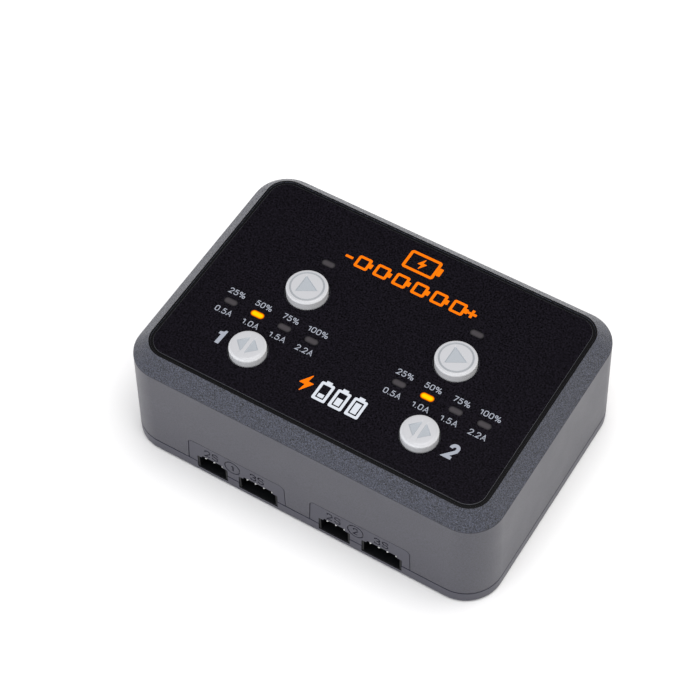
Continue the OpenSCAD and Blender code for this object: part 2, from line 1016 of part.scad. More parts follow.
module transformer_core() {
    color([0.22, 0.22, 0.24])
    translate(transformer_at)
        difference() {
            block(0, 0, core_low, core_size);
            for (side = SIDES)
                block(side * (core_leg + core_window) / 2, 0, core_low - cut, [
                    core_window,
                    core_size[1] - 2 * core_yoke,
                    core_size[2] + 2 * cut
                ]);
        }
}

module transformer_coil() {
    color([0.95, 0.85, 0.2])
    translate(transformer_at)
        difference() {
            block(0, 0, core_low - coil_layer, [
                core_leg + 2 * (core_window - coil_gap),
                coil_depth,
                core_size[2] + 2 * coil_layer
            ]);
            block(0, 0, core_low - seat, [
                core_leg + 2 * seat,
                coil_depth + 2 * cut,
                core_size[2] + 2 * seat
            ]);
        }
}

module transformer_bobbin() {
    color([0.1, 0.1, 0.11])
    translate(transformer_at)
        union() {
            place([0, 0], bobbin_base);
            for (side = SIDES)
                place([0, side * (bobbin_base[1] - bobbin_end[1]) / 2], bobbin_end);
        }
}

module output_capacitors() {
    color([0.15, 0.2, 0.15])
    for (at = OUTPUT_CAPACITORS)
        stand(at, output_capacitor_size);
}

module channel_inductors() {
    color([0.3, 0.3, 0.32])
    for (at = INDUCTORS)
        place(at, inductor_size);
}

module channel_chips() {
    color([0.12, 0.12, 0.13])
    for (at = CHANNEL_CHIPS)
        place(at, channel_chip_size);
}

module balance_resistors() {
    color([0.16, 0.16, 0.17])
    for (i = [0 : resistor_count - 1])
        place([resistor_pitch * (i - (resistor_count - 1) / 2), resistor_y], resistor_size);
}

module optocoupler() {
    color([0.9, 0.9, 0.88])
        place(optocoupler_at, optocoupler_size);
}

top_shell();
base_tray();
overlay_film();
rubber_feet();
case_screws();
start_button(-1);  // start_button_1
start_button(1);  // start_button_2
select_button(-1);  // select_button_1
select_button(1);  // select_button_2
level_light_guide(-1);  // level_light_guide_1
level_light_guide(1);  // level_light_guide_2
status_light_guide(-1);  // status_light_guide_1
status_light_guide(1);  // status_light_guide_2
control_board();
control_board_screws();
control_chip();
level_leds();
status_leds();
switch_body(BUTTONS[0]);  // start_switch_1
switch_body(BUTTONS[1]);  // start_switch_2
switch_body(BUTTONS[2]);  // select_switch_1
switch_body(BUTTONS[3]);  // select_switch_2
switch_plunger(BUTTONS[0]);  // start_plunger_1
switch_plunger(BUTTONS[1]);  // start_plunger_2
switch_plunger(BUTTONS[2]);  // select_plunger_1
switch_plunger(BUTTONS[3]);  // select_plunger_2
board_link_pins();
board_link_socket();
main_board();
main_board_screws();
insulating_sheet();
port_housing(PORTS[0]);  // two_cell_port_1
port_housing(PORTS[1]);  // three_cell_port_1
port_housing(PORTS[2]);  // two_cell_port_2
port_housing(PORTS[3]);  // three_cell_port_2
port_pins(PORTS[0]);  // two_cell_pins_1
port_pins(PORTS[1]);  // three_cell_pins_1
port_pins(PORTS[2]);  // two_cell_pins_2
port_pins(PORTS[3]);  // three_cell_pins_2
mains_inlet();
mains_inlet_pins();
fuse();
line_capacitor();
choke_core();
choke_windings();
bridge_rectifier();
bulk_capacitor();
power_transistor();
transistor_heatsink();
transformer_core();
transformer_coil();
transformer_bobbin();
output_diode();
diode_heatsink();
output_capacitors();
channel_inductors();
channel_chips();
balance_resistors();
optocoupler();
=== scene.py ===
"""Looks of a two-channel balance battery charger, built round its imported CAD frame.

Shapes are worked out in millimetres, in the CAD's own frame, and turned into metres
when a mesh is made. +X runs along the long front side and the ports face -Y.
"""

import json
import math

import bmesh
import bpy
from mathutils import Matrix, Vector


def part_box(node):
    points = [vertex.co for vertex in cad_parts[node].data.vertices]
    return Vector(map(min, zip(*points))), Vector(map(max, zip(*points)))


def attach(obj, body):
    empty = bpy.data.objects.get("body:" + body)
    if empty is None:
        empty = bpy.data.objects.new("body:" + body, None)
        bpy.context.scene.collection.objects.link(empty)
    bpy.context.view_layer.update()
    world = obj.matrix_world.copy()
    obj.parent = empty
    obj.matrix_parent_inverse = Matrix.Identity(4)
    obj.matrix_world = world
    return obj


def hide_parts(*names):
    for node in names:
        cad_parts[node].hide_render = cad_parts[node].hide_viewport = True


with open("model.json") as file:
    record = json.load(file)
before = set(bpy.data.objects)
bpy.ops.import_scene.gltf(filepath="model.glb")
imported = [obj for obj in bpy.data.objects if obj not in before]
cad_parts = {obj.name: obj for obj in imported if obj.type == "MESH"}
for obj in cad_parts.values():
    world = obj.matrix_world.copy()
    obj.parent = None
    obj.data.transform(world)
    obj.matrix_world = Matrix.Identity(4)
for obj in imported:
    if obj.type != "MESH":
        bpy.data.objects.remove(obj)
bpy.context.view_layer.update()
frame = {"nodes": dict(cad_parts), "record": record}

MM = 0.001
BODY = "charger_body"
CHANNELS = (1, 2)
OVERRUN = 1.0  # how far a cutter runs past the face it cuts
ARC_STEPS = 14
STADIUM_STEPS = 16
LATHE_STEPS = 112


# -------------------- places, from the frame


def span(node):
    """Lowest and highest corner of a CAD node, in millimetres."""
    low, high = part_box(node)
    return Vector(low) / MM, Vector(high) / MM


def middle(node):
    low, high = span(node)
    return (low + high) / 2


def corners_of(node, inset):
    """Axes of four round pieces of one radius that a node holds at its corners."""
    low, high = span(node)
    return [(x, y) for x in (low.x + inset, high.x - inset) for y in (low.y + inset, high.y - inset)]


TRAY_LOW, TRAY_HIGH = span("base_tray")
SHELL_LOW, SHELL_HIGH = span("top_shell")
FILM_LOW, FILM_HIGH = span("overlay_film")

FOOT_PLANE = span("rubber_feet")[0].z
BASE_Z = TRAY_LOW.z
BASE_HALF = Vector((TRAY_HIGH.x, TRAY_HIGH.y))
RIM_Z = SHELL_HIGH.z
SHELL_Z = SHELL_LOW.z
TRAY_Z = SHELL_Z - 0.3

WALL = 2.0
PANEL = 1.95
FLOOR = 1.6
CORNER = 10.3
CHAMFER = (4.0, 4.2)
CHAMFER_GROOVE = (0.26, 0.16)
FOOT_RADIUS = 5.0
CASE_SCREW_HEAD = 2.3
BOARD_SCREW_HEAD = 2.0
RIM_CORNER = 6.0
FILM_RECESS = 0.35
RECESS_INSET = 0.45
DRAFT = (TRAY_HIGH.x - SHELL_HIGH.x) / (SHELL_LOW.z - BASE_Z)
WALL_TOP = RIM_Z - CHAMFER[1]
PANEL_TOP = RIM_Z - FILM_RECESS
PANEL_BOTTOM = PANEL_TOP - PANEL
FILM_TOP = FILM_HIGH.z


def wall_inset(z):
    """How far the drafted wall has come in from the bottom edge at a height."""
    return DRAFT * (z - BASE_Z)


RIM_INSET = wall_inset(WALL_TOP) + CHAMFER[0]


def corner_at(inset):
    """Radius of the upright corners where the outline has come in by an inset."""
    top = wall_inset(WALL_TOP)
    if inset <= top:
        return CORNER - inset
    if inset <= RIM_INSET:
        share = (inset - top) / (RIM_INSET - top)
        return (CORNER - top) * (1 - share) + RIM_CORNER * share
    return RIM_CORNER - (inset - RIM_INSET)


# -------------------- outlines


def arc(centre, radius, start, end, steps=ARC_STEPS):
    """Points along an arc, ends included. Angles are in degrees."""
    points = []
    for i in range(steps + 1):
        angle = math.radians(start + (end - start) * i / steps)
        points.append((centre[0] + radius * math.cos(angle), centre[1] + radius * math.sin(angle)))
    return points


def rounded_rectangle(centre, half, radius, steps=ARC_STEPS):
    """half holds half the width and half the height."""
    x, y = half[0] - radius, half[1] - radius
    points = []
    for sx, sy, start in ((1, 1, 0), (-1, 1, 90), (-1, -1, 180), (1, -1, 270)):
        points += arc((centre[0] + sx * x, centre[1] + sy * y), radius, start, start + 90, steps)
    return points


def circle(centre, radius, steps):
    return arc(centre, radius, 0, 360, steps)[:-1]


def stadium(centre, half_length, radius):
    x = half_length - radius
    right = arc((centre[0] + x, centre[1]), radius, -90, 90, STADIUM_STEPS)
    left = arc((centre[0] - x, centre[1]), radius, 90, 270, STADIUM_STEPS)
    return right + left


def filleted(points, radii, steps=6, closed=False):
    """A polyline with each corner replaced by an arc of the given radius."""
    count = len(points)
    result = []
    for i, point in enumerate(points):
        corner = Vector(point)
        radius = radii[i] if hasattr(radii, "__len__") else radii
        if radius == 0 or (not closed and i in (0, count - 1)):
            result.append(tuple(corner))
            continue
        before = (Vector(points[i - 1]) - corner).normalized()
        after = (Vector(points[(i + 1) % count]) - corner).normalized()
        half = before.angle(after) / 2
        reach = radius / math.tan(half)
        centre = corner + (before + after).normalized() * (radius / math.sin(half))
        first = corner + before * reach - centre
        last = corner + after * reach - centre
        turn = first.angle_signed(last)
        for k in range(steps + 1):
            spun = first.copy()
            spun.rotate(Matrix.Rotation(-turn * k / steps, 2))
            result.append(tuple(centre + spun))
    return result


def grown_triangle(points, distance):
    """A triangle moved out by a distance on every side, kept about its incentre."""
    a, b, c = (Vector(p) for p in points)
    sides = ((b - c).length, (c - a).length, (a - b).length)
    total = sum(sides)
    incentre = (a * sides[0] + b * sides[1] + c * sides[2]) / total
    area = abs((b - a).cross(c - a)) / 2
    scale = 1 + distance / (2 * area / total)
    return [tuple(incentre + (p - incentre) * scale) for p in (a, b, c)]


# -------------------- meshes


def link(obj):
    bpy.context.scene.collection.objects.link(obj)
    return obj


def make_mesh(name, points, faces, indices=None):
    """A mesh object from millimetre points, with outward normals."""
    mesh = bpy.data.meshes.new(name)
    mesh.from_pydata([[v * MM for v in point] for point in points], [], faces)
    if indices:
        mesh.polygons.foreach_set("material_index", indices)
    work = bmesh.new()
    work.from_mesh(mesh)
    bmesh.ops.recalc_face_normals(work, faces=work.faces)
    work.to_mesh(mesh)
    work.free()
    return link(bpy.data.objects.new(name, mesh))


def loft(name, rings, bands=None):
    """A closed solid through rings of the same number of points, capped at both ends.

    bands gives the material index of the faces between each ring and the next.
    """
    size = len(rings[0])
    points = [point for ring in rings for point in ring]
    faces = [list(range(size))[::-1]]
    indices = [0]
    for level in range(len(rings) - 1):
        low, high = level * size, (level + 1) * size
        for i in range(size):
            j = (i + 1) % size
            faces.append([low + i, low + j, high + j, high + i])
            indices.append(bands[level] if bands else 0)
    faces.append([len(points) - size + i for i in range(size)])
    indices.append(bands[-1] if bands else 0)
    return make_mesh(name, points, faces, indices)


def prism(name, outline, low, high):
    return loft(name, [[(x, y, z) for x, y in outline] for z in (low, high)])


def rod(name, centre, radius, low, high, steps=48):
    return prism(name, circle(centre, radius, steps), low, high)


def block(name, low, high):
    outline = [(low[0], low[1]), (high[0], low[1]), (high[0], high[1]), (low[0], high[1])]
    return prism(name, outline, low[2], high[2])


def lathe(name, profile, centre, is_marked=None):
    """A turned solid from (radius, height) points that start and end on the axis.

    Faces whose section is_marked accepts get the groove's painted shade.
    """
    steps = LATHE_STEPS
    inner = profile[1:-1]
    points = [(centre[0], centre[1], profile[0][1]), (centre[0], centre[1], profile[-1][1])]
    for radius, height in inner:
        points += [(x, y, height) for x, y in circle(centre, radius, steps)]
    faces = []
    indices = []
    for level in range(len(inner) - 1):
        low, high = 2 + level * steps, 2 + (level + 1) * steps
        marked = bool(is_marked and is_marked(inner[level], inner[level + 1]))
        for i in range(steps):
            j = (i + 1) % steps
            faces.append([low + i, low + j, high + j, high + i])
            indices.append(GROOVE_SLOT if marked else 0)
    last = 2 + (len(inner) - 1) * steps
    for i in range(steps):
        j = (i + 1) % steps
        faces.append([0, 2 + j, 2 + i])
        faces.append([1, last + i, last + j])
    return make_mesh(name, points, faces, indices + [0] * (2 * steps))


def evaluated_mesh(obj):
    graph = bpy.context.evaluated_depsgraph_get()
    return bpy.data.meshes.new_from_object(obj.evaluated_get(graph), depsgraph=graph)


def settle(obj):
    """Applies the modifiers that shaped a piece."""
    mesh = evaluated_mesh(obj)
    obj.modifiers.clear()
    obj.data = mesh
    return obj


def join(name, parts):
    """One object from several, with their places and materials kept as they are."""
    work = bmesh.new()
    for part in parts:
        mesh = part.data
        mesh.transform(part.matrix_world)
        work.from_mesh(mesh)
    mesh = bpy.data.meshes.new(name)
    work.to_mesh(mesh)
    work.free()
    for material in parts[0].data.materials:
        mesh.materials.append(material)
    for part in parts:
        bpy.data.objects.remove(part)
    return link(bpy.data.objects.new(name, mesh))


def combine(obj, other, operation="DIFFERENCE", overlapping=False):
    """Cuts another solid out of a piece, or adds it, and removes the other one.

    overlapping is for another solid whose own parts run into each other.
    """
    boolean = obj.modifiers.new("combine", "BOOLEAN")
    boolean.operation = operation
    boolean.solver = "EXACT"
    boolean.use_self = overlapping
    boolean.object = other
    settle(obj)
    bpy.data.objects.remove(other)
    return obj


def soften(obj, width, angle=40, segments=3):
    """Rounds every edge sharper than an angle, as moulding does."""
    bevel = obj.modifiers.new("soften", "BEVEL")
    bevel.width = width * MM
    bevel.segments = segments
    bevel.limit_method = "ANGLE"
    bevel.angle_limit = math.radians(angle)
    bevel.use_clamp_overlap = True
    return settle(obj)


def smooth(obj, angle=35):
    """Smooth shading that keeps edges above an angle crisp and flat faces flat."""
    mesh = obj.data
    mesh.shade_smooth()
    mesh.set_sharp_from_angle(angle=math.radians(angle))
    weighted = obj.modifiers.new("weighted", "WEIGHTED_NORMAL")
    weighted.keep_sharp = True
    weighted.weight = 100
    return obj


def paint(obj, *materials):
    """Gives a mesh its materials in order. Its faces keep their material indices."""
    slots = obj.data.materials
    for i, material in enumerate(materials):
        if i < len(slots):
            slots[i] = material
        else:
            slots.append(material)
    return obj


def all_in(obj, index):
    """Puts every face of a mesh in one material slot."""
    obj.data.polygons.foreach_set("material_index", [index] * len(obj.data.polygons))
    return obj


def dress(obj, materials, body=BODY, replaces=()):
    """Gives a piece its materials and its body, and hides the CAD nodes it stands for."""
    paint(obj, *materials)
    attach(obj, body)
    if replaces:
        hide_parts(*replaces)


def plate(name, loops, low, high, edge=0.0):
    """A flat plate with holes. The first loop is its outline and the others are holes."""
    curve = bpy.data.curves.new(name, "CURVE")
    curve.dimensions = "2D"
    curve.fill_mode = "BOTH"
    curve.extrude = ((high - low) / 2 - edge) * MM
    curve.bevel_depth = edge * MM
    curve.bevel_resolution = 2
    curve.offset = -edge * MM
    for loop in loops:
        spline = curve.splines.new("POLY")
        spline.points.add(len(loop) - 1)
        for point, (x, y) in zip(spline.points, loop):
            point.co = (x * MM, y * MM, 0, 1)
        spline.use_cyclic_u = True
    return from_curve(name, curve, (low + high) / 2)


def from_curve(name, curve, height):
    """Turns a filled curve into a closed mesh at a height."""
    holder = link(bpy.data.objects.new(name, curve))
    mesh = evaluated_mesh(holder)
    bpy.data.objects.remove(holder)
    work = bmesh.new()
    work.from_mesh(mesh)
    bmesh.ops.remove_doubles(work, verts=work.verts, dist=1e-7)
    bmesh.ops.recalc_face_normals(work, faces=work.faces)
    bmesh.ops.translate(work, verts=work.verts, vec=(0, 0, height * MM))
    work.to_mesh(mesh)
    work.free()
    return link(bpy.data.objects.new(name, mesh))


# Each figure is its width and its strokes, in a box one unit tall.
# A stroke is its points, its corner radii and whether it is closed.
FIGURES = {
    "0": (0.50, [([(0, 0), (0.5, 0), (0.5, 1), (0, 1)], 0.24, True)]),
    "1": (0.34, [([(0.0, 0.76), (0.2, 0.82), (0.3, 1.0), (0.3, 0.0)], 0.06, False)]),
    "2": (0.50, [(
        [(0.01, 0.72), (0.01, 1), (0.49, 1), (0.49, 0.6), (0, 0), (0.5, 0)],
        (0, 0.23, 0.23, 0.12, 0, 0), False,
    )]),
    "3": (0.50, [
        ([(0, 0.76), (0, 1), (0.48, 1), (0.48, 0.53), (0.18, 0.53)], 0.22, False),
        ([(0.18, 0.53), (0.5, 0.53), (0.5, 0), (0, 0), (0, 0.24)], 0.23, False),
    ]),
    "5": (0.50, [
        ([(0.46, 1), (0.09, 1), (0.02, 0.46)], 0, False),
        (
            [(0.02, 0.5), (0.12, 0.64), (0.5, 0.64), (0.5, 0), (0, 0), (0, 0.22)],
            (0, 0.1, 0.27, 0.27, 0.2, 0), False,
        ),
    ]),
    "7": (0.50, [([(0, 1), (0.5, 1), (0.17, 0)], 0, False)]),
    "%": (0.86, [
        ([(0, 0.55), (0.28, 0.55), (0.28, 1), (0, 1)], 0.13, True),
        ([(0.58, 0), (0.86, 0), (0.86, 0.45), (0.58, 0.45)], 0.13, True),
        ([(0.24, -0.03), (0.62, 1.03)], 0, False),
    ]),
    ".": (0.08, [([(0.04, -0.06), (0.04, 0.07)], 0, False)]),
    "A": (0.62, [
        ([(0, -0.04), (0.31, 1.02), (0.62, -0.04)], 0, False),
        ([(0.09, 0.31), (0.53, 0.31)], 0, False),
    ]),
    "S": (0.50, [(
        [(0.5, 0.74), (0.5, 1), (0, 1), (0, 0.52), (0.5, 0.52), (0.5, 0), (0, 0), (0, 0.26)],
        (0, 0.24, 0.24, 0.23, 0.23, 0.24, 0.24, 0), False,
    )]),
}
FIGURE_GAP = 0.12


def stroke_loops(points, width, closed):
    """Outlines of a stroke of even width along a polyline, with mitred corners."""
    path = [Vector(p) for p in points]
    count = len(path)
    sides = ([], [])
    for i, point in enumerate(path):
        headings = []
        if closed or i > 0:
            headings.append((point - path[i - 1]).normalized())
        if closed or i < count - 1:
            headings.append((path[(i + 1) % count] - point).normalized())
        normals = [Vector((-h.y, h.x)) for h in headings]
        across = sum(normals, Vector((0, 0))).normalized()
        reach = width / 2 / max(across.dot(normals[0]), 0.4)
        for side, sign in zip(sides, (1, -1)):
            side.append(tuple(point + across * reach * sign))
    if closed:
        return [sides[0], sides[1][::-1]]
    return [sides[0] + sides[1][::-1]]


def lettering(name, words, centre, size, low, high, heavy=0.12, slant=0.0):
    """A line of figures as flat plates, fitted to a width and height about its centre.

    heavy is the stroke's width as a share of the height.
    """
    stroke = heavy * size[1]
    tall = size[1] - stroke
    natural = sum(FIGURES[c][0] + FIGURE_GAP + heavy for c in words) - FIGURE_GAP - heavy
    stretch = (size[0] - stroke) / (natural * tall)
    plates = []
    x = 0.0
    for character in words:
        wide, strokes = FIGURES[character]
        for points, radii, closed in strokes:
            path = filleted(points, radii, steps=5, closed=closed)
            path = [((x + px - natural / 2) * stretch * tall, (py - 0.5) * tall) for px, py in path]
            path = [(centre[0] + px + slant * py, centre[1] + py) for px, py in path]
            plates.append(plate("figure", stroke_loops(path, stroke, closed), low, high))
        x += wide + FIGURE_GAP + heavy
    return join(name, plates)


# -------------------- materials


def shader(name):
    """A new material with its Principled node, and a function that adds more nodes."""
    material = bpy.data.materials.new(name)
    material.use_nodes = True
    tree = material.node_tree
    main = tree.nodes["Principled BSDF"]

    def add(kind, **values):
        node = tree.nodes.new(kind)
        for key, value in values.items():
            if key in node.inputs:
                node.inputs[key].default_value = value
            else:
                setattr(node, key, value)
        return node

    return material, tree.links.new, main, add


def assign(node, values):
    """Sets the values of a node's inputs by their names."""
    for key, value in values.items():
        node.inputs[key].default_value = value


def noise(add, connect, scale, detail=3.0, rough=0.5):
    """Solid noise in object space. scale is in grains per millimetre."""
    place = add("ShaderNodeTexCoord")
    texture = add("ShaderNodeTexNoise", Scale=scale / MM, Detail=detail, Roughness=rough)
    connect(place.outputs["Object"], texture.inputs["Vector"])
    return texture.outputs["Fac"]


def ramp(add, connect, source, low, high):
    """Maps a 0.3 to 0.7 noise value to a range."""
    node = add("ShaderNodeMapRange")
    assign(node, {"From Min": 0.3, "From Max": 0.7, "To Min": low, "To Max": high})
    connect(source, node.inputs["Value"])
    return node.outputs["Result"]


def tint(add, connect, source, dark, light):
    mix = add("ShaderNodeMix", data_type="RGBA")
    connect(source, mix.inputs["Factor"])
    mix.inputs[6].default_value = (*dark, 1)
    mix.inputs[7].default_value = (*light, 1)
    return mix.outputs[2]


def relief(add, connect, source, strength, height):
    """A bump node driven by a noise value. height is in millimetres."""
    bump = add("ShaderNodeBump", Strength=strength, Distance=height * MM)
    connect(source, bump.inputs["Height"])
    return bump


GLOSS_CHANGE = 0.02
BROAD_GRAIN = 25


def grained(name, colour, vary=0.12, rough=0.45, grain=4.0, bump=0.02, strength=0.5,
            specular=0.5, metallic=0.0, cloud=0.15):
    """A moulded or rolled surface: fine grain in its colour, its gloss and its relief.

    cloud is the share of the colour's change that comes in broad patches.
    """
    material, connect, main, add = shader(name)
    fine = noise(add, connect, grain)
    broad = noise(add, connect, grain / BROAD_GRAIN)
    dark = [max(c * (1 - vary), 0.0) for c in colour]
    light = [c * (1 + vary) for c in colour]
    share = add("ShaderNodeMath", operation="MULTIPLY_ADD")
    connect(fine, share.inputs[0])
    share.inputs[1].default_value = 1 - cloud
    scaled = add("ShaderNodeMath", operation="MULTIPLY")
    connect(broad, scaled.inputs[0])
    scaled.inputs[1].default_value = cloud
    connect(scaled.outputs[0], share.inputs[2])
    mixed = ramp(add, connect, share.outputs[0], 0, 1)
    connect(tint(add, connect, mixed, dark, light), main.inputs["Base Color"])
    connect(ramp(add, connect, broad, rough - GLOSS_CHANGE, rough + GLOSS_CHANGE), main.inputs["Roughness"])
    connect(relief(add, connect, fine, strength, bump).outputs["Normal"], main.inputs["Normal"])
    assign(main, {"Specular IOR Level": specular, "Metallic": metallic})
    return material


# Painted shade and light on the chamfer's grain: black in its hollows, pale blue-grey on its peaks.
HOLLOW_SHADE = (0.0, 0.0, 0.0)
PEAK = (0.092, 0.1, 0.14)


def spark_grain():
    """The coarse spark-eroded grain of the chamfer, which glints. Its colour runs with its relief, painted
    black in the hollows as shade and pale blue-grey on the peaks as light.
    """
    material, connect, main, add = shader("spark_eroded_plastic")
    coarse = noise(add, connect, 3.0, detail=2.0, rough=0.6)
    fine = noise(add, connect, 7.0, detail=2.0)
    mixed = ramp(add, connect, coarse, 0, 1)
    # The same noise shapes the relief, so the hollows get the painted shade.
    connect(tint(add, connect, mixed, HOLLOW_SHADE, PEAK), main.inputs["Base Color"])
    connect(ramp(add, connect, fine, 0.22, 0.4), main.inputs["Roughness"])
    small = relief(add, connect, fine, 0.5, 0.03)
    large = relief(add, connect, coarse, 1.0, 0.5)
    connect(small.outputs["Normal"], large.inputs["Normal"])
    connect(large.outputs["Normal"], main.inputs["Normal"])
    assign(main, {"Specular IOR Level": 0.5})
    return material


def glow_material(name, edge, core, strength):
    """A lit window: brightest in the middle, by the mesh's own glow attribute."""
    material, connect, main, add = shader(name)
    level = add("ShaderNodeAttribute", attribute_name="glow")
    colour = tint(add, connect, level.outputs["Fac"], edge, core)
    power = add("ShaderNodeMapRange")
    assign(power, {"To Min": strength[0], "To Max": strength[1]})
    connect(level.outputs["Fac"], power.inputs["Value"])
    connect(colour, main.inputs["Emission Color"])
    connect(power.outputs["Result"], main.inputs["Emission Strength"])
    assign(main, {"Base Color": (0.05, 0.01, 0.0, 1), "Specular IOR Level": 0.0, "Roughness": 0.4})
    return material


def window_material():
    """An unlit window: smoky clear ink that fades into the black at its edge."""
    material, connect, main, add = shader("unlit_window")
    level = add("ShaderNodeAttribute", attribute_name="glow")
    colour = tint(add, connect, level.outputs["Fac"], (0.005, 0.005, 0.006), (0.044, 0.039, 0.044))
    connect(colour, main.inputs["Base Color"])
    assign(main, {"Roughness": 0.45, "Specular IOR Level": 0.15})
    return material


def button_material():
    """Milky plastic, painted paler on its sides and round edge than on its top: painted light from the
    front.
    """
    material, connect, main, add = shader("button_plastic")
    normal = add("ShaderNodeNewGeometry")
    parts = add("ShaderNodeSeparateXYZ")
    connect(normal.outputs["Normal"], parts.inputs[0])
    upward = add("ShaderNodeMapRange")
    assign(upward, {"From Min": 0.4, "From Max": 0.96})
    connect(parts.outputs["Z"], upward.inputs["Value"])
    # Painted light: the colour runs from pale where the cap faces sideways to darker where it faces up.
    colour = tint(add, connect, upward.outputs["Result"], (0.86, 0.87, 0.89), (0.45, 0.455, 0.475))
    connect(colour, main.inputs["Base Color"])
    fine = noise(add, connect, 3.0)
    connect(ramp(add, connect, fine, 0.3, 0.36), main.inputs["Roughness"])
    connect(relief(add, connect, fine, 0.3, 0.004).outputs["Normal"], main.inputs["Normal"])
    return material


CASE = grained("case_plastic", (0.0295, 0.0288, 0.046), vary=0.45, rough=0.4, grain=2.8, bump=0.01,
               strength=0.35, specular=0.72, cloud=0.05)
GRAIN = spark_grain()
# Paler than the case plastic as painted light on the upright pad and tray faces, with a finer grain of its
# own.
PAD = grained("fine_grain_plastic_painted_light", (0.042, 0.0412, 0.062), rough=0.4, grain=5.0, bump=0.005, strength=0.3)
# Near-black, far darker than the case plastic: painted shade on the rim ledge and in the gap round the
# film.
RIM = grained("rim_painted_shade", (0.003, 0.003, 0.0035), rough=0.4, specular=0.08)
FILM = grained("printed_film", (0.0028, 0.0024, 0.0036), vary=3.0, rough=0.3, grain=2.3, bump=0.03,
               specular=0.02, cloud=0.0)
# Far paler than the film: a painted highlight along the film's bevelled edge.
FILM_EDGE = grained("film_edge_painted_highlight", (0.05, 0.052, 0.06), rough=0.3, grain=3.0)
CAP = button_material()
# Darker than the cap: painted shade on the sunk icons' floors and sides.
CAP_ICON = grained("button_icon", (0.34, 0.365, 0.395), vary=0.02, grain=3.0, bump=0.004, strength=0.3)
# Darker than the cap: painted shade in the start cap's ring groove.
CAP_GROOVE = grained("button_groove", (0.31, 0.325, 0.345), vary=0.02, rough=0.5, grain=3.0, bump=0.004)
INK_GREY = grained("grey_ink", (0.3, 0.32, 0.37), vary=0.06, rough=0.5, specular=0.1)
INK_WHITE = grained("white_ink", (0.55, 0.58, 0.63), vary=0.04, rough=0.5, specular=0.1)
INK_ORANGE = grained("orange_ink", (0.82, 0.16, 0.0), vary=0.04, rough=0.5, specular=0.04)
# Real black nylon of the sockets and inlet, also put on the case's walls inside the ports as painted shade.
PORT = grained("port_nylon", (0.005, 0.0054, 0.0065), rough=0.4, specular=0.12)
# Near-white and barely metallic: the tips' reflection of the bright floor and lights is painted into the
# tin's colour.
PIN = grained("tin_painted_reflection", (0.92, 0.92, 0.9), vary=0.05, rough=0.3, grain=6.0, metallic=0.2)
RUBBER = grained("foot_rubber", (0.018, 0.018, 0.018), rough=0.75, grain=3.0, bump=0.03)
LIT = glow_material("lit_window", (1.0, 0.13, 0.0), (1.0, 0.44, 0.001), (0.3, 1.6))
UNLIT = window_material()

CASE_LOOKS = [CASE, GRAIN, RIM, PORT, PAD]
GRAIN_SLOT, RIM_SLOT, PORT_SHADE_SLOT, PAD_SLOT = 1, 2, 3, 4
# The tray's own plastic is the paler one, painted light on its upright walls.
TRAY_LOOKS = [PAD, *CASE_LOOKS[1:]]
CAP_LOOKS = [CAP, CAP_ICON, CAP_GROOVE]
ICON_SLOT, GROOVE_SLOT = 1, 2

SLOT_LOOKS = {
    "screw_steel": grained("zinc_steel", (0.6, 0.6, 0.62), rough=0.3, grain=3.0, metallic=1.0),
    "light_guide": grained("milky_acrylic", (0.75, 0.75, 0.72), vary=0.03, rough=0.2, grain=1.0),
    "led_amber": grained("amber_lamp", (0.9, 0.45, 0.08), vary=0.05, rough=0.25, grain=2.0),
    "led_clear": grained("clear_lamp", (0.85, 0.85, 0.8), vary=0.05, rough=0.2, grain=2.0),
    "circuit_board": grained("solder_mask", (0.02, 0.16, 0.07), vary=0.2, rough=0.3, grain=1.2, bump=0.01),
    "component_black": grained("moulded_epoxy", (0.02, 0.02, 0.022), rough=0.55, grain=5.0),
    "plunger_plastic": grained("grey_nylon", (0.2, 0.2, 0.22)),
    "contact_gold": grained("gold_flash", (0.9, 0.62, 0.22), rough=0.25, metallic=1.0),
    "contact_tin": grained("tinned_pin", (0.82, 0.82, 0.8), vary=0.05, rough=0.25, grain=6.0, metallic=1.0),
    "port_plastic": PORT,
    "sheet_plastic": grained("polyester_sheet", (0.6, 0.6, 0.56), rough=0.35, grain=1.5),
    "fuse_plastic": grained("fuse_case", (0.12, 0.05, 0.02), rough=0.4, grain=3.0),
    "capacitor_yellow": grained("boxed_film_capacitor", (0.75, 0.5, 0.03), rough=0.35, grain=2.0),
    "ferrite": grained("sintered_ferrite", (0.05, 0.05, 0.052), vary=0.25, rough=0.7, bump=0.04),
    "copper_wire": grained("enamelled_copper", (0.6, 0.2, 0.06), rough=0.3, grain=3.0, metallic=1.0),
    "capacitor_sleeve": grained("shrink_sleeve", (0.02, 0.03, 0.1), rough=0.3, grain=1.5),
    "heatsink_metal": grained("plain_aluminium", (0.7, 0.71, 0.73), rough=0.35, grain=2.0, metallic=1.0),
    "coil_tape": grained("polyester_tape", (0.75, 0.58, 0.05), rough=0.3, grain=1.0),
    "opto_plastic": grained("white_package", (0.7, 0.7, 0.68)),
    "foot_rubber": RUBBER,
    "case_plastic": CASE,
    "film_print": FILM,
    "button_plastic": CAP,
}


def dress_cad_nodes():
    """Every CAD node takes the look of its record slot, whether or not it ends up shown."""
    slots = {part["node"]: part["material_slot"] for part in frame["record"]["subparts"]}
    for node, obj in frame["nodes"].items():
        paint(obj, SLOT_LOOKS[slots[node]])


# -------------------- case


def case_ring(inset, z):
    half = (BASE_HALF.x - inset, BASE_HALF.y - inset)
    return [(x, y, z) for x, y in rounded_rectangle((0, 0), half, corner_at(inset))]


BUTTONS = {f"{kind}_button_{channel}": kind for kind in ("start", "select") for channel in CHANNELS}
CAP_RADIUS = {"start": 5.43, "select": 4.8}
FLANGE = 0.9
SKIRT_GAP = 0.12
COLLAR = (1.6, 1.5)
TOWER = (3.2, 5.1)
POST_RADIUS = 2.5
POST_GAP = 0.03
BOSS_ROOT = 0.4


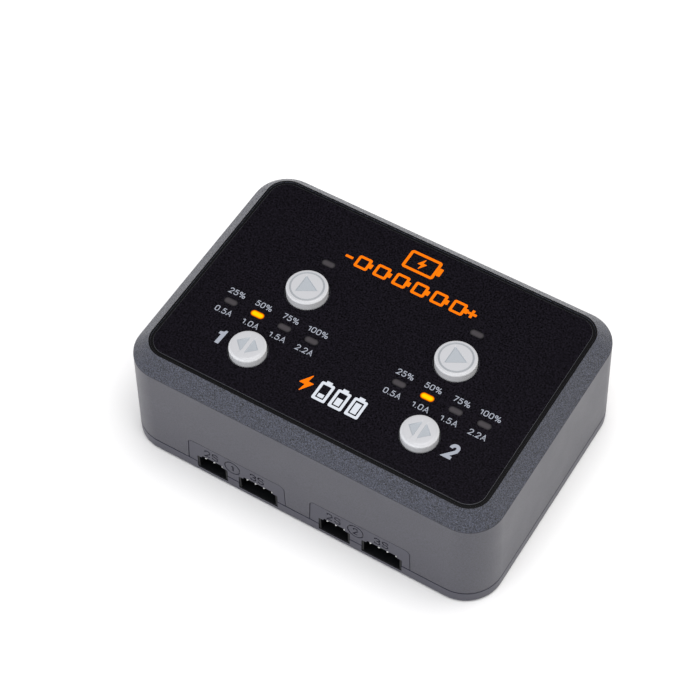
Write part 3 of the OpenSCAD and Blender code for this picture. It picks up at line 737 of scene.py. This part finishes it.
def button_centre(node):
    """The cap's axis. Its key stands out towards +Y only inside the flange's radius."""
    at = middle(node)
    return (at.x, at.y)


def shell_bosses():
    """Corner towers for the case screws, posts for the control board, and button collars."""
    top = PANEL_BOTTOM + BOSS_ROOT
    post_foot = span("control_board")[1].z + POST_GAP
    radius, foot = TOWER
    parts = []
    for place in corners_of("case_screws", CASE_SCREW_HEAD):
        parts.append(rod("tower", place, radius, foot, top))
    for place in corners_of("control_board_screws", BOARD_SCREW_HEAD):
        parts.append(rod("post", place, POST_RADIUS, post_foot, top))
    for node, kind in BUTTONS.items():
        wall, drop = COLLAR
        radius = CAP_RADIUS[kind] + wall
        parts.append(rod("collar", button_centre(node), radius, PANEL_BOTTOM - drop, top, 72))
    return join("bosses", parts)


def button_holes():
    low = PANEL_BOTTOM - COLLAR[1] - OVERRUN
    holes = []
    for node, kind in BUTTONS.items():
        radius = CAP_RADIUS[kind] + SKIRT_GAP
        holes.append(rod("hole", button_centre(node), radius, low, RIM_Z + OVERRUN, 96))
    return join("holes", holes)


PORTS = [f"{size}_cell_port_{channel}" for channel in CHANNELS for size in ("two", "three")]
PORT_SIDE = 0.22
PORT_FLOOR = 0.33
PORT_SHOULDER = 4.9
PORT_RIB = (1.3, 0.85, 0.3)
POCKET_DEPTH = 1.05
MOUTH_DEPTH = WALL + 0.6


def port_opening(node):
    """Low and high corner of a port's opening, across x and z, without its rib channel."""
    low, high = span(node)
    bottom = low.z + PORT_FLOOR
    return (low.x + PORT_SIDE, bottom), (high.x - PORT_SIDE, bottom + PORT_SHOULDER)


def port_outline(node):
    """An opening's edge: square below, with a channel for the plug's rib along the top."""
    (left, bottom), (right, shoulder) = port_opening(node)
    step, rise, slope = PORT_RIB
    corners = [
        (left, bottom), (right, bottom), (right, shoulder), (right - step, shoulder),
        (right - step - slope, shoulder + rise), (left + step + slope, shoulder + rise),
        (left + step, shoulder), (left, shoulder),
    ]
    return filleted(corners, [0.1, 0.1, 0.25, 0.1, 0.15, 0.15, 0.1, 0.25], steps=3, closed=True)


def port_cutter(node):
    """The opening in the front wall, and behind it the pocket that holds the socket."""
    front, back = -BASE_HALF.y - OVERRUN, -BASE_HALF.y + MOUTH_DEPTH
    mouth = loft("mouth", [[(x, y, z) for x, z in port_outline(node)] for y in (front, back)])
    low, high = span(node)
    gap = 0.1
    pocket = block(
        "pocket",
        (low.x - gap, -BASE_HALF.y + POCKET_DEPTH, low.z - gap),
        (high.x + gap, high.y + 0.5, high.z + gap),
    )
    # The case's own walls in the opening and pocket take the black port nylon, as painted shade inside the
    # port.
    return all_in(paint(combine(mouth, pocket, "UNION"), *CASE_LOOKS), PORT_SHADE_SLOT)


def inlet_cutter():
    low, high = span("mains_inlet")
    gap = 0.15
    return block(
        "inlet_slot",
        (low.x - gap, BASE_HALF.y - 2 * WALL, SHELL_Z - OVERRUN),
        (high.x + gap, BASE_HALF.y + OVERRUN, high.z + gap),
    )


def shell_profile():
    """The shell's section as (inset, height), from inside its bottom edge to the recess."""
    bottom, top = wall_inset(SHELL_Z), wall_inset(WALL_TOP)
    width, depth = CHAMFER_GROOVE
    corners = [
        (bottom + WALL, SHELL_Z),
        (bottom, SHELL_Z),
        (wall_inset(WALL_TOP - width), WALL_TOP - width),
        (top + depth, WALL_TOP - width * 0.6),
        (top + depth, WALL_TOP - width * 0.3),
        (top, WALL_TOP),
        (RIM_INSET, RIM_Z),
        (RIM_INSET + RECESS_INSET, RIM_Z),
        (RIM_INSET + RECESS_INSET, PANEL_TOP),
    ]
    return filleted(corners, [0, 0.16, 0.05, 0.02, 0.02, 0.05, 0.2, 0.1, 0], steps=4)


def inner_profile():
    """The inside of the shell, from its bottom edge up to the panel's lower face."""
    slope = CHAMFER[0] / CHAMFER[1]
    lean = WALL * math.hypot(1, slope)
    bend = WALL_TOP - (lean - WALL) / slope
    top = RIM_INSET + lean - slope * (RIM_Z - PANEL_BOTTOM)
    return [(top, PANEL_BOTTOM), (wall_inset(bend) + WALL, bend)]


def on_chamfer(point):
    inset, z = point
    slack = 0.02
    return WALL_TOP < z < RIM_Z - 0.03 and inset > wall_inset(WALL_TOP) - slack


def build_shell():
    outside = shell_profile()
    points = inner_profile() + outside
    rings = [case_ring(inset, z) for inset, z in points]
    bands = []
    # Chamfer faces take the grain; the rim ledge and the recess walls round the film take the rim's
    # near-black painted shade.
    for first, second in zip(points, points[1:]):
        centre = ((first[0] + second[0]) / 2, (first[1] + second[1]) / 2)
        if on_chamfer(centre):
            bands.append(GRAIN_SLOT)
        elif centre[0] > RIM_INSET - 0.2 and centre[1] > PANEL_TOP - 0.1:
            bands.append(RIM_SLOT)
        else:
            bands.append(0)
    bands.append(RIM_SLOT)
    shell = paint(loft("shell", rings, bands), *CASE_LOOKS)
    combine(shell, shell_bosses(), "UNION")
    combine(shell, button_holes())
    for port in PORTS:
        combine(shell, port_cutter(port))
    combine(shell, inlet_cutter())
    for channel in CHANNELS:
        combine(shell, tab_cutter(channel), overlapping=True)
    soften(shell, 0.06, angle=50, segments=2)
    combine(shell, wall_marks(), overlapping=True)
    smooth(shell, 32)
    dress(shell, CASE_LOOKS, replaces=["top_shell"])


TRAY_SET_BACK = 0.08
FOOT_SINK = 0.6
FOOT_GAP = 0.15
WELL = (2.6, 3.0)
TRAY_BOSS = (4.2, 5.0)
VENT = (10, 0.9)
VENT_X = 20
VENT_Y = 2
VENT_PITCH = 4
VENT_COUNT = 6


def tray_profile():
    outer, inner = TRAY_SET_BACK, TRAY_SET_BACK + WALL
    corners = [(4.0, BASE_Z), (outer, BASE_Z), (outer, TRAY_Z), (inner, TRAY_Z), (inner, BASE_Z + FLOOR)]
    return filleted(corners, [0, 0.16, 0.1, 0, 0], steps=6)


def tray_cutters():
    """Foot recesses, screw wells and the vent slots in the floor."""
    low = BASE_Z - OVERRUN
    parts = []
    for place in corners_of("rubber_feet", FOOT_RADIUS):
        recess = rod("recess", place, FOOT_RADIUS + FOOT_GAP, low, BASE_Z + FOOT_SINK, 72)
        parts.append(combine(recess, rod("well", place, WELL[0], BASE_Z, WELL[1]), "UNION"))
    half_length, radius = VENT
    for side in (-1, 1):
        for i in range(VENT_COUNT):
            y = VENT_Y + VENT_PITCH * (i - (VENT_COUNT - 1) / 2)
            outline = stadium((side * VENT_X, y), half_length, radius)
            parts.append(prism("vent", outline, low, BASE_Z + FLOOR + OVERRUN))
    return join("tray_cuts", parts)


def tray_bosses():
    radius, top = TRAY_BOSS
    places = corners_of("case_screws", CASE_SCREW_HEAD)
    return join("tray_bosses", [rod("boss", place, radius, BASE_Z + 0.3, top) for place in places])


def inlet_sill():
    """The stretch of back wall that closes the shell's slot below the mains inlet."""
    low, high = span("mains_inlet")
    y = BASE_HALF.y - 0.3
    return block("sill", (low.x + 0.05, y - WALL, BASE_Z + FLOOR - 0.01), (high.x - 0.05, y, low.z - 0.15))


def build_tray():
    rings = [case_ring(inset, z) for inset, z in tray_profile()]
    tray = paint(loft("tray", rings), *TRAY_LOOKS)
    combine(tray, tray_bosses(), "UNION")
    combine(tray, inlet_sill(), "UNION")
    for port in PORTS:
        combine(tray, port_cutter(port))
    combine(tray, tray_cutters())
    soften(tray, 0.06, angle=50, segments=2)
    smooth(tray, 32)
    dress(tray, TRAY_LOOKS, replaces=["base_tray"])


# -------------------- marks on the front wall

TAB_TOP = 12.2
TAB_MARGIN = (2.85, 2.55)
TAB_CORNERS = (1.2, 1.6)
TAB_LEAN = 0.4
TAB_DEPTH = 0.06
TAB_LINE = (0.24, 0.22)
MARK_DEPTH = 0.34
MARK_Z = 9.6
MARK_SIZE = (4.2, 2.8)
MARK_STROKE = 0.125
RING = (2.4, 0.3, -0.6)
RING_FIGURES = {1: (0.9, 2.7), 2: (1.5, 2.7)}


def on_front_wall(z):
    """Matrix that lays a flat drawing (x, height) on the drafted front wall."""
    y = -(BASE_HALF.y - wall_inset(z))
    lean = math.atan(DRAFT)
    return Matrix.Translation((0, y * MM, z * MM)) @ Matrix.Rotation(math.pi / 2 - lean, 4, "X")


def tab_outline(channel):
    """The sunk pad round a pair of ports, from below the seam to its round top corners."""
    left = port_opening(f"two_cell_port_{channel}")[0][0] - TAB_MARGIN[0]
    right = port_opening(f"three_cell_port_{channel}")[1][0] + TAB_MARGIN[1]
    low = BASE_Z - TAB_TOP - OVERRUN
    corners = [(left, low), (right, low), (right - TAB_LEAN, 0), (left + TAB_LEAN, 0)]
    small, wide = TAB_CORNERS
    return filleted(corners, [0, 0, wide, small], steps=8, closed=True)


def tab_cutter(channel):
    """The shallow pad, with a deeper line along its edge."""
    edge = tab_outline(channel)
    width, depth = TAB_LINE
    pad = plate("pad", [edge], -TAB_DEPTH, OVERRUN)
    line = plate("line", stroke_loops(edge[1:] + edge[:1], width, False), -TAB_DEPTH - depth, 0.1)
    # The pad and its line take the paler plastic, painted light on their upright faces.
    cutter = all_in(paint(join("tab", [pad, line]), *CASE_LOOKS), PAD_SLOT)
    cutter.data.transform(on_front_wall(TAB_TOP))
    return cutter


def port_marks(channel):
    """Cell counts over the two ports and the channel's number in a ring between them."""
    two = port_opening(f"two_cell_port_{channel}")
    three = port_opening(f"three_cell_port_{channel}")
    low, high = -TAB_DEPTH - MARK_DEPTH, OVERRUN / 2
    radius, stroke, drop = RING
    centre = ((two[1][0] + three[0][0]) / 2 - 0.1, drop)
    parts = []
    for opening, words in ((two, "2S"), (three, "3S")):
        x = (opening[0][0] + opening[1][0]) / 2 - 0.2
        parts.append(lettering("mark", words, (x, 0), MARK_SIZE, low, high, MARK_STROKE))
    ring = [circle(centre, radius, 48), circle(centre, radius - stroke, 48)[::-1]]
    parts.append(plate("ring", ring, low, high))
    parts.append(lettering("figure", str(channel), centre, RING_FIGURES[channel], low, high, MARK_STROKE))
    marks = join("marks", parts)
    marks.data.transform(on_front_wall(MARK_Z))
    return marks


def wall_marks():
    return join("wall_marks", [port_marks(channel) for channel in CHANNELS])


# -------------------- film and its print

INK = (-0.01, 0.012)
FILM_GAP = 0.3
FILM_EDGE_ROUND = 0.07
LEVELS = {"25%": 4.7, "50%": 4.7, "75%": 4.7, "100%": 5.9}
CURRENTS = ("0.5A", "1.0A", "1.5A", "2.2A")
CURRENT_WIDTH = 4.8
CAPITAL = 1.75
LEVEL_RISE = 3.15
CURRENT_DROP = 3.35
WINDOW_PITCH = 8.0


def build_film():
    half = (FILM_HIGH.x, FILM_HIGH.y)
    inset = BASE_HALF.x - half[0]
    loops = [rounded_rectangle((0, 0), half, corner_at(inset))]
    for node, kind in BUTTONS.items():
        loops.append(circle(button_centre(node), CAP_RADIUS[kind] + FILM_GAP, 96)[::-1])
    film = plate("film", loops, FILM_LOW.z, FILM_TOP, edge=FILM_EDGE_ROUND)
    faces = film.data.polygons
    # The film's sloped edge faces take the painted highlight.
    faces.foreach_set("material_index", [int(abs(face.normal.z) <= 0.99) for face in faces])
    smooth(film, 30)
    dress(film, [FILM, FILM_EDGE], replaces=["overlay_film"])


def printed(name, parts, material):
    dress(join(name, parts), [material])


def ink_plate(name, loops):
    return plate(name, loops, FILM_TOP + INK[0], FILM_TOP + INK[1])


def ink_block(centre, half, radius):
    return ink_plate("block", [rounded_rectangle(centre, half, radius, 4)])


def ink_text(words, centre, size, heavy=0.135, slant=0.0):
    return lettering("ink", words, centre, size, FILM_TOP + INK[0], FILM_TOP + INK[1], heavy, slant)


def window_places(channel):
    """Centres of a channel's four level windows, from left to right."""
    low, high = span(f"level_light_guide_{channel}")
    x, y = (low.x + high.x) / 2, (low.y + high.y) / 2
    count = len(LEVELS)
    return [(x + WINDOW_PITCH * (i - (count - 1) / 2), y) for i in range(count)]


def bold_one(centre, height):
    """The outline of a bold, slightly slanting figure one."""
    slant = 0.06
    unit = [
        (-0.01, -0.5), (0.24, -0.5), (0.24, 0.5), (0.1, 0.5),
        (0.04, 0.38), (-0.17, 0.32), (-0.17, 0.14), (-0.01, 0.14),
    ]
    return [(centre[0] + (x + slant * y) * height, centre[1] + y * height) for x, y in unit]


def build_scale_print():
    """The level and current of each window, and the two channels' numbers."""
    parts = []
    for channel in CHANNELS:
        for (x, y), level, current in zip(window_places(channel), LEVELS, CURRENTS):
            parts.append(ink_text(level, (x, y + LEVEL_RISE), (LEVELS[level], CAPITAL)))
            parts.append(ink_text(current, (x, y - CURRENT_DROP), (CURRENT_WIDTH, CAPITAL)))
    parts.append(ink_plate("one", [bold_one((-32.95, -19.7), 4.45)]))
    parts.append(ink_text("2", (34.1, -19.9), (2.75, 4.7), heavy=0.2, slant=0.12))
    printed("scale_print", parts, INK_GREY)


def outlined_box(centre, half, radius, stroke):
    inner = (half[0] - stroke, half[1] - stroke)
    hole = rounded_rectangle(centre, inner, max(radius - stroke, 0.15), 6)[::-1]
    return [rounded_rectangle(centre, half, radius, 6), hole]


def bolt(centre, height):
    """A lightning bolt, as six corners about its centre."""
    unit = [(0.1, 0.5), (-0.3, -0.08), (-0.03, -0.08), (-0.12, -0.5), (0.3, 0.1), (0.03, 0.1)]
    corners = [(centre[0] + x * height, centre[1] + y * height) for x, y in unit]
    return filleted(corners, 0.12, steps=3, closed=True)


def build_orange_print():
    """A row of cells in series with its two signs, a battery over it, and a bolt below."""
    first, y, pitch = -14.0, 18.4, 5.6
    minus, plus, arm = -18.1, 18.0, 0.85
    battery = (-0.75, 25.7)
    parts = []
    for i in range(6):
        x = first + pitch * i
        parts.append(ink_plate("cell", outlined_box((x, y), (1.95, 2.0), 0.6, 0.75)))
        parts.append(ink_block((x + 2.35, y), (0.4, 0.75), 0.15))
    parts.append(ink_block((minus, y), (1.1, 0.38), 0.12))
    parts.append(ink_block((plus, y), (1.3, 0.38), 0.12))
    parts += [ink_block((plus, y + side * arm), (0.38, 0.44), 0.1) for side in (-1, 1)]
    parts.append(ink_plate("battery", outlined_box(battery, (4.6, 3.1), 0.8, 0.8)))
    parts.append(ink_block((battery[0] + 5.2, battery[1]), (0.55, 1.3), 0.2))
    parts.append(ink_plate("bolt", [bolt(battery, 4.3)]))
    parts.append(ink_plate("bolt", [bolt((-6.7, -20.75), 6.3)]))
    printed("orange_print", parts, INK_ORANGE)


def build_white_print():
    """Three upright battery signs: low, half and full."""
    first, y, pitch, step = -1.7, -21.0, 4.7, 0.55
    parts = []
    for i in range(3):
        x = first + pitch * i
        level = step * (i + 1)
        parts.append(ink_plate("cell", outlined_box((x, y), (1.9, 2.85), 0.45, 0.75)))
        parts.append(ink_block((x, y + 3.15), (0.8, 0.3), 0.1))
        parts.append(ink_block((x, y - 1.75 + level), (0.8, level), 0.1))
    printed("white_print", parts, INK_WHITE)


WINDOW = (1.9, 0.95)
WINDOW_STEPS = (0.0, 0.15, 0.35, 0.6, 0.85)
WINDOW_CROWN = 0.004
WINDOW_FADE = 0.5
LIT_INDEX = 1


def window(centre):
    """A stadium of nested rings, whose glow attribute runs from 0 at the rim to 1 inside."""
    half_length, half_width = WINDOW
    rings = [[(x, y, FILM_TOP + INK[0]) for x, y in stadium(centre, half_length, half_width)]]
    levels = [0.0] * len(rings[0])
    for step, share in enumerate(WINDOW_STEPS):
        outline = stadium(centre, half_length - half_width * share, half_width * (1 - share))
        rings.append([(x, y, FILM_TOP + INK[1] + WINDOW_CROWN * step) for x, y in outline])
        levels += [min(share / WINDOW_FADE, 1.0)] * len(outline)
    obj = loft("window", rings)
    attribute = obj.data.attributes.new("glow", "FLOAT", "POINT")
    attribute.data.foreach_set("value", levels)
    return obj


def build_windows():
    lit, unlit = [], []
    for channel in CHANNELS:
        for i, centre in enumerate(window_places(channel)):
            (lit if i == LIT_INDEX else unlit).append(window(centre))
        at = middle(f"status_light_guide_{channel}")
        unlit.append(window((at.x, at.y)))
    printed("lit_windows", lit, LIT)
    printed("unlit_windows", unlit, UNLIT)


# -------------------- buttons

CAP_EDGE = {"start": 0.72, "select": 1.0}
ICON_DEPTH = 0.2
CAP_RING = (4.32, 0.25, 0.18)


def cap_profile(kind, low, high):
    """Half section of a cap: stem, flange, skirt, round edge and, on a start cap, a ring."""
    radius = CAP_RADIUS[kind]
    flange_low, flange_high = low + 1.02, low + 2.02
    corners = [
        (0, low), (1.6, low), (1.6, flange_low), (radius + FLANGE, flange_low),
        (radius + FLANGE, flange_high), (radius, flange_high), (radius, high),
    ]
    sizes = [0, 0.1, 0, 0.15, 0.15, 0.05, CAP_EDGE[kind]]
    if kind == "start":
        ring, half, depth = CAP_RING
        corners += [(ring + half, high), (ring, high - depth), (ring - half, high)]
        sizes += [0.02, 0.04, 0.02]
    corners.append((0, high))
    return filleted(corners, sizes + [0], steps=7)


def is_ring_groove(first, second):
    """Whether a stretch of the cap's section lies in the ring, or on its rounded lips."""
    ring, half = CAP_RING[:2]
    lip = 0.03
    return all(abs(point[0] - ring) < half + lip for point in (first, second))


def icon_cutter(triangle, high):
    """A sunk triangle with sloping sides, painted darker than the cap as shade in the recess."""
    rings = []
    for grow, z in ((0.12, high + 0.05), (0.1, high), (-0.12, high - ICON_DEPTH)):
        outline = filleted(grown_triangle(triangle, grow), 0.15, steps=4, closed=True)
        rings.append([(x, y, z) for x, y in outline])
    cutter = paint(loft("icon", rings[::-1]), CAP, CAP_ICON)
    return all_in(cutter, ICON_SLOT)


def icon_triangles(kind, centre):
    x, y = centre
    if kind == "start":
        return [[(x - 1.76, y - 2.7), (x + 2.95, y), (x - 1.76, y + 2.7)]]
    right = [(x + 0.63, y - 2.3), (x + 3.03, y), (x + 0.63, y + 2.3)]
    left = [(x - 0.63, y + 2.3), (x - 3.03, y), (x - 0.63, y - 2.3)]
    return [right, left]


def build_buttons():
    for node, kind in BUTTONS.items():
        low, high = span(node)
        centre = button_centre(node)
        marked = is_ring_groove if kind == "start" else None
        cap = paint(lathe(node + "_cap", cap_profile(kind, low.z, high.z), centre, marked), *CAP_LOOKS)
        for triangle in icon_triangles(kind, centre):
            combine(cap, icon_cutter(triangle, high.z))
        smooth(cap, 30)
        body = node.replace("button", "cap")
        dress(cap, CAP_LOOKS, body, replaces=[node])


# -------------------- port pins


PIN_PITCH = 2.5
PIN_WIDTH = 0.64
PIN_REACH = 0.2
PIN_TAPER = (0.35, 0.45)


def bent_pin(x, low, high):
    """One square pin: a tapered tip at the front, and a tail turned up through the board."""
    half = PIN_WIDTH / 2
    taper, tip_share = PIN_TAPER
    tip_y = low.y - PIN_REACH
    mid_z = low.z + half
    tail_y = high.y - half

    def section(y, z, direction, size):
        """A square across the pin, whose upper side lies along a direction."""
        centre, side, up = Vector((x, y, z)), Vector((size, 0, 0)), Vector(direction) * size
        corners = (centre - side - up, centre + side - up, centre + side + up, centre - side + up)
        return [tuple(corner) for corner in corners]

    return loft("pin", [
        section(tip_y, mid_z, (0, 0, 1), half * tip_share),
        section(tip_y + taper, mid_z, (0, 0, 1), half),
        section(tail_y, mid_z, (0, -1, 1), half),
        section(tail_y, high.z, (0, -1, 0), half),
    ])


def build_pins():
    for port in PORTS:
        pins = port.replace("port", "pins")
        low, high = span(pins)
        count = round((high.x - low.x - PIN_WIDTH) / PIN_PITCH) + 1
        parts = [bent_pin(low.x + PIN_WIDTH / 2 + PIN_PITCH * i, low, high) for i in range(count)]
        row = join(pins + "_row", parts)
        soften(row, 0.06, angle=30, segments=2)
        smooth(row, 40)
        dress(row, [PIN], replaces=[pins])


# -------------------- feet and mains inlet


def build_feet():
    """Four round feet, each with a shallow hollow in its sole."""
    low, high = span("rubber_feet")
    radius, rim, hollow = FOOT_RADIUS, 0.35, 0.15
    corners = [
        (0, low.z + hollow), (radius - 1.7, low.z + hollow), (radius - 1.5, low.z), (radius - rim, low.z),
        (radius, low.z + rim), (radius, high.z), (0, high.z),
    ]
    profile = filleted(corners, [0, 0.05, 0.05, 0.15, 0.1, 0.05, 0], steps=3)
    feet = [lathe("foot", profile, place) for place in corners_of("rubber_feet", radius)]
    row = smooth(join("foot_row", feet), 40)
    dress(row, [RUBBER], replaces=["rubber_feet"])


INLET_LOBE = (4.2, 4.0, 6.6)
INLET_DEPTH = 13.5
INLET_LIP = ((0.5, 0.1), (0.4, 0.0), (0.0, -0.45), (0.0, -INLET_DEPTH))
INLET_PIN = (4.3, 1.25)


def figure_eight(centre):
    """The two-lobed outline of the mains socket."""
    radius, offset, waist = INLET_LOBE
    turn = math.degrees(math.asin(waist / 2 / radius))
    right = arc((centre[0] + offset, centre[1]), radius, turn - 180, 180 - turn, 24)
    left = arc((centre[0] - offset, centre[1]), radius, turn, 360 - turn, 24)
    return right + left


def build_inlet():
    """The inlet's housing, with its two-lobed recess and the holes its two pins stand in."""
    low, high = span("mains_inlet")
    centre = ((low.x + high.x) / 2, (low.z + high.z) / 2)
    housing = soften(block("inlet_housing", low, high), 0.35, segments=3)
    half_width = INLET_LOBE[0] + INLET_LOBE[1]
    rings = []
    for grow, y in INLET_LIP:
        scale = 1 + grow / half_width
        outline = [((x - centre[0]) * scale, (z - centre[1]) * scale) for x, z in figure_eight(centre)]
        rings.append([(centre[0] + x, high.y + y, centre[1] + z) for x, z in outline])
    combine(housing, loft("recess", rings))
    offset, radius = INLET_PIN
    ends = (low.y - OVERRUN, high.y - INLET_DEPTH + OVERRUN)
    for side in (-1, 1):
        hole = circle((centre[0] + side * offset, centre[1]), radius, 32)
        combine(housing, loft("hole", [[(x, y, z) for x, z in hole] for y in ends]))
    smooth(housing, 40)
    dress(housing, [PORT], replaces=["mains_inlet"])


# -------------------- stage


def build_floor():
    material, _, main, _ = shader("white_table")
    assign(main, {"Base Color": (0.92, 0.92, 0.92, 1), "Roughness": 0.7})
    floor = block("floor", (-3000, -3000, -20), (3000, 3000, FOOT_PLANE - 0.01))
    floor.data.materials.append(material)


def add_area(name, place, size, power, colour=(1, 1, 1)):
    """A rectangular soft light at a place in metres, aimed at the charger."""
    light = bpy.data.lights.new(name, "AREA")
    light.shape = "RECTANGLE"
    light.size, light.size_y = size
    light.energy = power
    light.color = colour
    obj = link(bpy.data.objects.new(name, light))
    obj.location = place
    obj.rotation_euler = (-Vector(place)).to_track_quat("-Z", "Y").to_euler()


def build_lights():
    """Soft light from above and in front, a dim room, and a white backdrop for the camera."""
    add_area("overhead", (0.2, 0.05, 1.25), (1.1, 1.1), 17)
    add_area("front", (-0.55, -1.25, 0.72), (1.8, 1.0), 8.0, (0.88, 0.92, 1.0))
    world = bpy.data.worlds.new("studio")
    bpy.context.scene.world = world
    world.use_nodes = True
    tree = world.node_tree
    room = tree.nodes["Background"]
    assign(room, {"Color": (1.0, 0.97, 0.95, 1), "Strength": 0.4})
    pale = tree.nodes.new("ShaderNodeBackground")
    assign(pale, {"Color": (1, 1, 1, 1), "Strength": 1.0})
    path = tree.nodes.new("ShaderNodeLightPath")
    mix = tree.nodes.new("ShaderNodeMixShader")
    tree.links.new(path.outputs["Is Camera Ray"], mix.inputs["Fac"])
    tree.links.new(room.outputs[0], mix.inputs[1])
    tree.links.new(pale.outputs[0], mix.inputs[2])
    tree.links.new(mix.outputs[0], tree.nodes["World Output"].inputs["Surface"])


CAMERA_TURN = (30.88, 54.15)
CAMERA_ROLL = -0.15
CAMERA_TARGET = (-5.34, 14.49, 11.53)
CAMERA_DISTANCE = 559.0
CAMERA_LENS = 109.07
CAMERA_SHIFT = (-0.0494, -0.0086)


def build_camera():
    azimuth, elevation = (math.radians(a) for a in CAMERA_TURN)
    level = math.cos(elevation)
    back = Vector((math.sin(azimuth) * level, -math.cos(azimuth) * level, math.sin(elevation)))
    data = bpy.data.cameras.new("camera")
    data.lens = CAMERA_LENS
    data.sensor_width = 36
    data.shift_x, data.shift_y = CAMERA_SHIFT
    data.clip_start = 0.01
    camera = link(bpy.data.objects.new("camera", data))
    roll = Matrix.Rotation(math.radians(CAMERA_ROLL), 4, "Z")
    turn = (-back).to_track_quat("-Z", "Y").to_matrix().to_4x4()
    place = Vector(CAMERA_TARGET) + back * CAMERA_DISTANCE
    camera.matrix_world = Matrix.Translation(place * MM) @ turn @ roll
    bpy.context.scene.camera = camera


# -------------------- build


dress_cad_nodes()
build_shell()
build_tray()
build_film()
build_scale_print()
build_orange_print()
build_white_print()
build_windows()
build_buttons()
build_pins()
build_feet()
build_inlet()
build_floor()
build_lights()
build_camera()
bpy.context.scene.view_settings.view_transform = "Standard"
